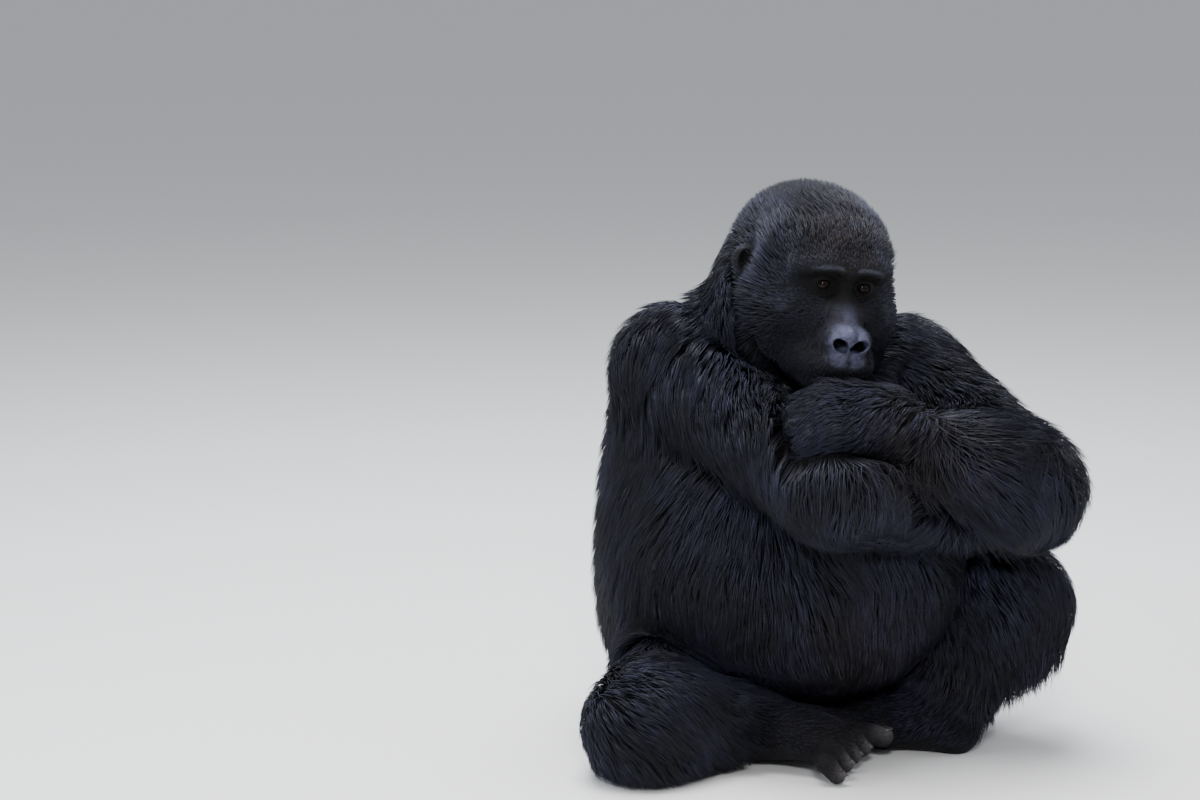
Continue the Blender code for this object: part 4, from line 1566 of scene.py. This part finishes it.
@dataclass
class Wiring:
    """Short way to add and join nodes of one tree."""

    tree: Tree

    def add(self, kind: str, **settings: object) -> Outlet:
        """New node; settings are input sockets by name, or the node's own properties.

        Args:
            kind: node type.
            settings: values, sockets or nodes. An underscore stands for a space.

        Returns:
            The node.
        """
        node = self.tree.nodes.new(kind)
        self.wire(node, **settings)
        return Outlet(node)

    def wire(self, node: bpy.types.Node, **settings: object) -> None:
        """Give a node its own properties, in small letters, and then its inputs."""
        for key in sorted(settings, key=lambda each: each[0].isupper()):
            if key[0].islower():
                setattr(node, key, settings[key])
            else:
                self.feed(node.inputs[key.replace("_", " ")], settings[key])

    def feed(self, socket: Socket, value: object) -> None:
        """Put a value, socket or node's first output into an input."""
        if isinstance(value, Outlet):
            value = value.node.outputs[0]
        if isinstance(value, Socket):
            self.tree.links.new(value, socket)
        else:
            socket.default_value = value

    def math(self, operation: str, first: object, second: object = 0.0) -> Outlet:
        """Arithmetic on two numbers."""
        made = self.add("ShaderNodeMath", operation=operation)
        self.feed(made.node.inputs[0], first)
        self.feed(made.node.inputs[1], second)
        return made

    def scaled(self, value: object, factor: float, plus: float = 0.0) -> Outlet:
        """Number times a factor, plus another number."""
        product = self.math("MULTIPLY", value, factor)
        return self.math("ADD", product, plus) if plus else product

    def place(self) -> Socket:
        """Place in the piece's own space."""
        return self.add("ShaderNodeTexCoord")["Object"]

    def noise(self, place: object, scale: float, detail: float,
              roughness: float = 0.5) -> Socket:
        """Cloudy noise from 0 to 1."""
        return self.add("ShaderNodeTexNoise", Vector=place, Scale=scale, Detail=detail,
                        Roughness=roughness)["Fac"]

    def gray(self, value: object) -> Socket:
        """Grey colour of a number."""
        return self.add("ShaderNodeCombineColor", Red=value, Green=value,
                        Blue=value)["Color"]

    def mix(self, share: object, first: object, second: object,
            blend: str = "MIX") -> Socket:
        """Mix of two colours."""
        made = self.add("ShaderNodeMix", data_type="RGBA", blend_type=blend)
        for number, value in ((0, share), (6, first), (7, second)):
            self.feed(made.node.inputs[number], value)
        return made.node.outputs[2]

    def ramp(self, value: object, low: float, high: float) -> Outlet:
        """Smooth step between two numbers."""
        return self.add("ShaderNodeMapRange", interpolation_type="SMOOTHSTEP",
                        Value=value, From_Min=low, From_Max=high)

    def mask(self, name: str) -> Socket:
        """Stored number of a piece."""
        return self.add("ShaderNodeAttribute", attribute_name=name)["Fac"]

    def named(self, name: str, kind: str) -> Outlet:
        """Stored attribute, inside a geometry tree."""
        made = self.add("GeometryNodeInputNamedAttribute", data_type=kind)
        made.node.inputs["Name"].default_value = name
        return made


def new_tree(name: str, kind: str, inputs: dict[str, str],
             outputs: dict[str, str]) -> tuple[Wiring, Outlet, Outlet]:
    """Node tree with named sockets.

    Args:
        name: name of the tree.
        kind: type of the tree.
        inputs: kind of each input socket, by name.
        outputs: kind of each output socket, by name.

    Returns:
        The tree's wiring, its input node and its output node.
    """
    tree = bpy.data.node_groups.new(name, kind)
    for way, sockets in (("INPUT", inputs), ("OUTPUT", outputs)):
        for label, type_of in sockets.items():
            tree.interface.new_socket(label, in_out=way,
                                      socket_type=f"NodeSocket{type_of}")
    net = Wiring(tree)
    return net, net.add("NodeGroupInput"), net.add("NodeGroupOutput")


def new_finish(name: str) -> tuple[Material, Wiring, bpy.types.Node]:
    """Material with its wiring and its main shader."""
    made = bpy.data.materials.new(name)
    made.use_nodes = True
    return made, Wiring(made.node_tree), made.node_tree.nodes["Principled BSDF"]


def colour(red: float, green: float, blue: float) -> Colour:
    """Opaque colour."""
    return (red, green, blue, 1.0)


BROWN_SPOTS: tuple[tuple[Point, float, float], ...] = (
    (tuple(in_head((0.080, 0.0, 0.085))), 0.085, 0.55),
    ((0.030, -0.400, 0.440), 0.150, 0.40),
    ((-0.010, -0.330, 0.130), 0.170, 0.45),
    ((0.020, 0.140, 0.330), 0.200, 0.30),
)


def coat_markings() -> Tree:
    """Colour of the animal by place, shared by skin and coat."""
    found = bpy.data.node_groups.get("coat markings")
    if found:
        return found
    net, given, out = new_tree(
        "coat markings", "ShaderNodeTree",
        {"Dark": "Color", "Cool": "Color", "Brown": "Color"},
        {"Color": "Color", "Mottle": "Float"})
    place = net.place()
    broad, fine = net.noise(place, 11.0, 3.0), net.noise(place, 70.0, 2.0)
    # the cool colour is mixed in by broad noise; on the coat its blue is painted sheen
    tint = net.mix(net.ramp(broad, 0.38, 0.66), given["Dark"], given["Cool"])
    brown: object = 0.0
    for centre, reach, strength in BROWN_SPOTS:
        gap = net.add("ShaderNodeVectorMath", operation="DISTANCE")
        net.feed(gap.node.inputs[0], place)
        net.feed(gap.node.inputs[1], centre)
        near = net.ramp(gap["Value"], reach, 0.2 * reach)
        brown = net.math("ADD", brown, net.scaled(near, strength))
    brown = net.math("MULTIPLY", brown, net.ramp(fine, 0.25, 0.75))
    net.wire(out.node, Color=net.mix(brown, tint, given["Brown"]), Mottle=fine)
    return net.tree


def leather_grain() -> Tree:
    """Fine cells and long wrinkles of bare skin."""
    found = bpy.data.node_groups.get("leather grain")
    if found:
        return found
    net, given, out = new_tree("leather grain", "ShaderNodeTree", {"Scale": "Float"},
                               {"Height": "Float", "Crease": "Float"})
    place = net.place()
    drift = net.add("ShaderNodeTexNoise", Vector=place, Scale=60.0, Detail=2.0)["Color"]
    moved = net.add("ShaderNodeVectorMath", operation="MULTIPLY_ADD")
    for number, value in enumerate((drift, (0.006, 0.006, 0.006), place)):
        net.feed(moved.node.inputs[number], value)
    cells = net.add("ShaderNodeTexVoronoi", feature="DISTANCE_TO_EDGE", Vector=moved,
                    Scale=given["Scale"])["Distance"]
    stretched = net.add("ShaderNodeMapping", Vector=moved, Scale=(1.0, 1.0, 3.4))
    lines, edge = net.noise(stretched, 110.0, 4.0, 0.62), net.ramp(cells, 0.0, 0.22)
    height = net.math("ADD", net.scaled(edge, 0.30), net.scaled(lines, 0.9))
    crease = net.math("MULTIPLY", net.math("SUBTRACT", 1.0, edge),
                      net.ramp(lines, 0.62, 0.35))
    net.wire(out.node, Height=height, Crease=crease)
    return net.tree


@dataclass(frozen=True)
class CoatFinish:
    """Near-black hair, cooler and paler toward the tips; its blue is painted sheen."""

    # painted sheen: the blue in these colours stands for the sky's sheen on black hair
    dark: Colour = colour(0.0062, 0.0064, 0.0118)
    cool: Colour = colour(0.0132, 0.0140, 0.0290)
    brown: Colour = colour(0.0310, 0.0210, 0.0165)
    root: Colour = colour(0.0042, 0.0039, 0.0056)
    roughness: float = 0.49

    def material(self) -> Material:
        """The hair's material."""
        made, net, shader = new_finish("coat")
        marks = net.add("ShaderNodeGroup", node_tree=coat_markings(), Dark=self.dark,
                        Cool=self.cool, Brown=self.brown)
        tone, reach = net.mask("tone"), net.mask("reach")
        lit = net.gray(net.scaled(tone, 1.4, 0.30))
        toned = net.mix(1.0, marks["Color"], lit, "MULTIPLY")
        hair = net.mix(net.ramp(reach, 0.0, 0.75), self.root, toned)
        net.wire(shader, Base_Color=hair, Specular_IOR_Level=0.24,
                 Roughness=net.scaled(tone, 0.14, self.roughness))
        return made


@dataclass(frozen=True)
class HideFinish:
    """Leathery near-black skin, glossier on nose and lip; painted light and shade."""

    dark: Colour = colour(0.0050, 0.0046, 0.0056)
    cool: Colour = colour(0.0085, 0.0082, 0.0108)
    brown: Colour = colour(0.0150, 0.0110, 0.0090)
    # painted reflection: pale bluish sky sheen on the glossy nose, bridge and upper lip
    nose: Colour = colour(0.0650, 0.0680, 0.1130)
    # painted highlight on the arcs above the eyes and on the ear rims
    brow: Colour = colour(0.0420, 0.0440, 0.0580)
    pad: Colour = colour(0.0900, 0.0820, 0.0840)
    # painted shade in the grain's creases, round the eyes, in nostrils and ear bowls
    shade: Colour = colour(0.0010, 0.0009, 0.0011)

    def material(self) -> Material:
        """The skin's material."""
        made, net, shader = new_finish("skin")
        marks = net.add("ShaderNodeGroup", node_tree=coat_markings(), Dark=self.dark,
                        Cool=self.cool, Brown=self.brown)
        grain = net.add("ShaderNodeGroup", node_tree=leather_grain(), Scale=420.0)
        nose, tint = net.mask("nose"), marks["Color"]
        # painted reflection on the nose, broken up by the mottle
        painted_reflection = net.math("MULTIPLY", nose, net.ramp(marks["Mottle"], 0.15, 0.60))
        # paint over the markings: reflection, highlight, pale toe pads, then painted shade
        for share, strength, paint in (
            (painted_reflection, 1.0, self.nose), (net.mask("brow"), 0.9, self.brow),
            (net.mask("pad"), 0.8, self.pad), (grain["Crease"], 0.6, self.shade),
            (net.mask("shadow"), 1.0, self.shade),
        ):
            tint = net.mix(net.scaled(share, strength), tint, paint)
        rough = net.math("SUBTRACT", 0.70, net.scaled(nose, 0.30))
        rough = net.math("ADD", rough, net.scaled(grain["Crease"], 0.12))
        bump = net.add("ShaderNodeBump", Height=grain["Height"], Distance=0.0014,
                       Strength=0.60)
        net.wire(shader, Base_Color=tint, Roughness=rough, Normal=bump,
                 Specular_IOR_Level=0.12)
        return made


@dataclass(frozen=True)
class EyeFinish:
    """Dark brown iris, black pupil, dark brown white of the eye, wet all over."""

    stops: tuple[tuple[float, Colour], ...] = (
        (0.000, colour(0.0010, 0.0010, 0.0010)),
        (0.062, colour(0.0010, 0.0010, 0.0010)),
        (0.072, colour(0.0070, 0.0039, 0.0027)),
        (0.130, colour(0.0098, 0.0054, 0.0037)),
        (0.172, colour(0.0030, 0.0018, 0.0013)),
        (0.186, colour(0.0009, 0.0007, 0.0006)),
        (0.225, colour(0.0026, 0.0020, 0.0017)),
        (0.400, colour(0.0040, 0.0030, 0.0025)),
    )

    def material(self) -> Material:
        """The eyeball's material."""
        made, net, shader = new_finish("eye")
        ramp = net.add("ShaderNodeValToRGB",
                       Fac=net.scaled(net.mask("off_axis"), 1.0 / math.pi))
        points = ramp.node.color_ramp.elements
        for place, _ in self.stops[2:]:
            points.new(place)
        for point, (place, tint) in zip(points, self.stops):
            point.position, point.color = place, tint
        fibre = net.noise(net.place(), 900.0, 3.0)
        lit = net.gray(net.scaled(fibre, 0.9, 0.55))
        net.wire(shader, Base_Color=net.mix(1.0, ramp["Color"], lit, "MULTIPLY"),
                 Roughness=net.scaled(fibre, 0.16), Coat_Weight=0.17,
                 Coat_Roughness=0.03, Specular_IOR_Level=0.0)
        return made


@dataclass(frozen=True)
class NailFinish:
    """Dark horn with fine streaks."""

    dark: Colour = colour(0.0150, 0.0130, 0.0140)
    pale: Colour = colour(0.0520, 0.0450, 0.0440)

    def material(self) -> Material:
        """The nails' material."""
        made, net, shader = new_finish("nail")
        streaks = net.noise(net.place(), 420.0, 3.0)
        bump = net.add("ShaderNodeBump", Height=streaks, Distance=0.0004, Strength=0.4)
        net.wire(shader, Normal=bump, Roughness=net.scaled(streaks, 0.25, 0.22),
                 Base_Color=net.mix(net.ramp(streaks, 0.35, 0.7), self.dark, self.pale))
        return made


@dataclass(frozen=True)
class FloorFinish:
    """Plain pale matt floor."""

    tint: Colour = colour(0.72, 0.715, 0.705)

    def material(self) -> Material:
        """The floor's material."""
        made, net, shader = new_finish("floor")
        net.wire(shader, Base_Color=self.tint, Roughness=0.85)
        return made


# ---------------------------------------------------------------- studio
@dataclass
class Studio:
    """Pale floor, soft lights and the camera."""

    camera_place: Point = (-2.070, -3.757, 1.150)
    camera_aim: Point = (0.42773, 0.88927, -0.16189)
    lens: float = 95.45
    sensor: float = 36.0
    floor_reach: float = 60.0
    lamp_aim: Point = (0.0, -0.08, 0.36)
    sky_tint: Point = (0.88, 0.92, 1.0)
    sky_strength: float = 0.60
    lamps: tuple[tuple[str, Point, float, float, tuple[float, ...]], ...] = (
        ("key", (-0.6, -0.35, 3.5), 2.0, 160.0, (1.0, 0.99, 0.98)),
        ("fill", (2.4, -2.6, 1.8), 2.4, 20.0, (0.95, 0.97, 1.0)),
        ("top", (0.3, 0.9, 3.2), 2.6, 150.0, (0.88, 0.92, 1.0)),
        ("side", (-3.0, 0.2, 1.5), 2.0, 55.0, (0.86, 0.92, 1.0)),
        ("front", (-1.50, -3.00, 1.90), 0.55, 72.0, (1.0, 1.0, 1.0)),
    )

    def build(self) -> None:
        """Put everything in place."""
        far = self.floor_reach
        mesh = bpy.data.meshes.new("floor")
        mesh.from_pydata([(-far, -far, 0.0), (far, -far, 0.0), (far, far, 0.0),
                          (-far, far, 0.0)], [], [(0, 1, 2, 3)])
        floor = link("floor", mesh)
        shade_like(floor, FloorFinish().material())
        floor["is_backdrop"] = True
        for name, place, size, power, tint in self.lamps:
            lamp = bpy.data.lights.new(name, "AREA")
            lamp.shape, lamp.size, lamp.energy, lamp.color = "DISK", size, power, tint
            self.aim(name, lamp, place, Vector(self.lamp_aim) - Vector(place))
        world = bpy.data.worlds.new("daylight")
        world.use_nodes = True
        sky = world.node_tree.nodes["Background"]
        sky.inputs["Color"].default_value = colour(*self.sky_tint)
        sky.inputs["Strength"].default_value = self.sky_strength
        bpy.context.scene.world = world
        lens = bpy.data.cameras.new("camera")
        lens.lens, lens.sensor_width = self.lens, self.sensor
        bpy.context.scene.camera = self.aim("camera", lens, self.camera_place,
                                            Vector(self.camera_aim))

    @staticmethod
    def aim(name: str, data: bpy.types.ID, place: Point,
            toward: Vector) -> Piece:
        """Object at a place, turned to look along a direction."""
        made = link(name, data)
        made.location = place
        made.rotation_euler = toward.to_track_quat("-Z", "Y").to_euler()
        return made


def main() -> None:
    """Build the animal piece by piece, then the studio."""
    logging.basicConfig(level=logging.INFO, format="%(name)s: %(message)s")
    anatomy = Anatomy().build()
    flesh = Flesh(anatomy)
    hide = Hide(flesh).build()
    shade_like(hide, HideFinish().material())
    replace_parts(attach(hide, "root"), *FLESH_NODES)
    eye_finish = EyeFinish().material()
    for name, side in (("right", -1.0), ("left", 1.0)):
        eye = Eye(f"eyeball_{name}", side).build()
        shade_like(eye, eye_finish)
        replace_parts(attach(eye, "root"), f"eye_{name}")
    nails = Nails(anatomy).build()
    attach(nails, "root")
    coat_finish = CoatFinish().material()
    for tufts in Coat(flesh, hide).build():
        shade_like(tufts, coat_finish)
        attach(tufts, "root")
    Studio().build()
    sizes = {"cad": [list(corner) for corner in CAD_BOX],
             "visual": [list(corner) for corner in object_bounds()]}
    LOG.info("cad %s, visual %s", sizes["cad"], sizes["visual"])


if __name__ == "__main__":
    main()
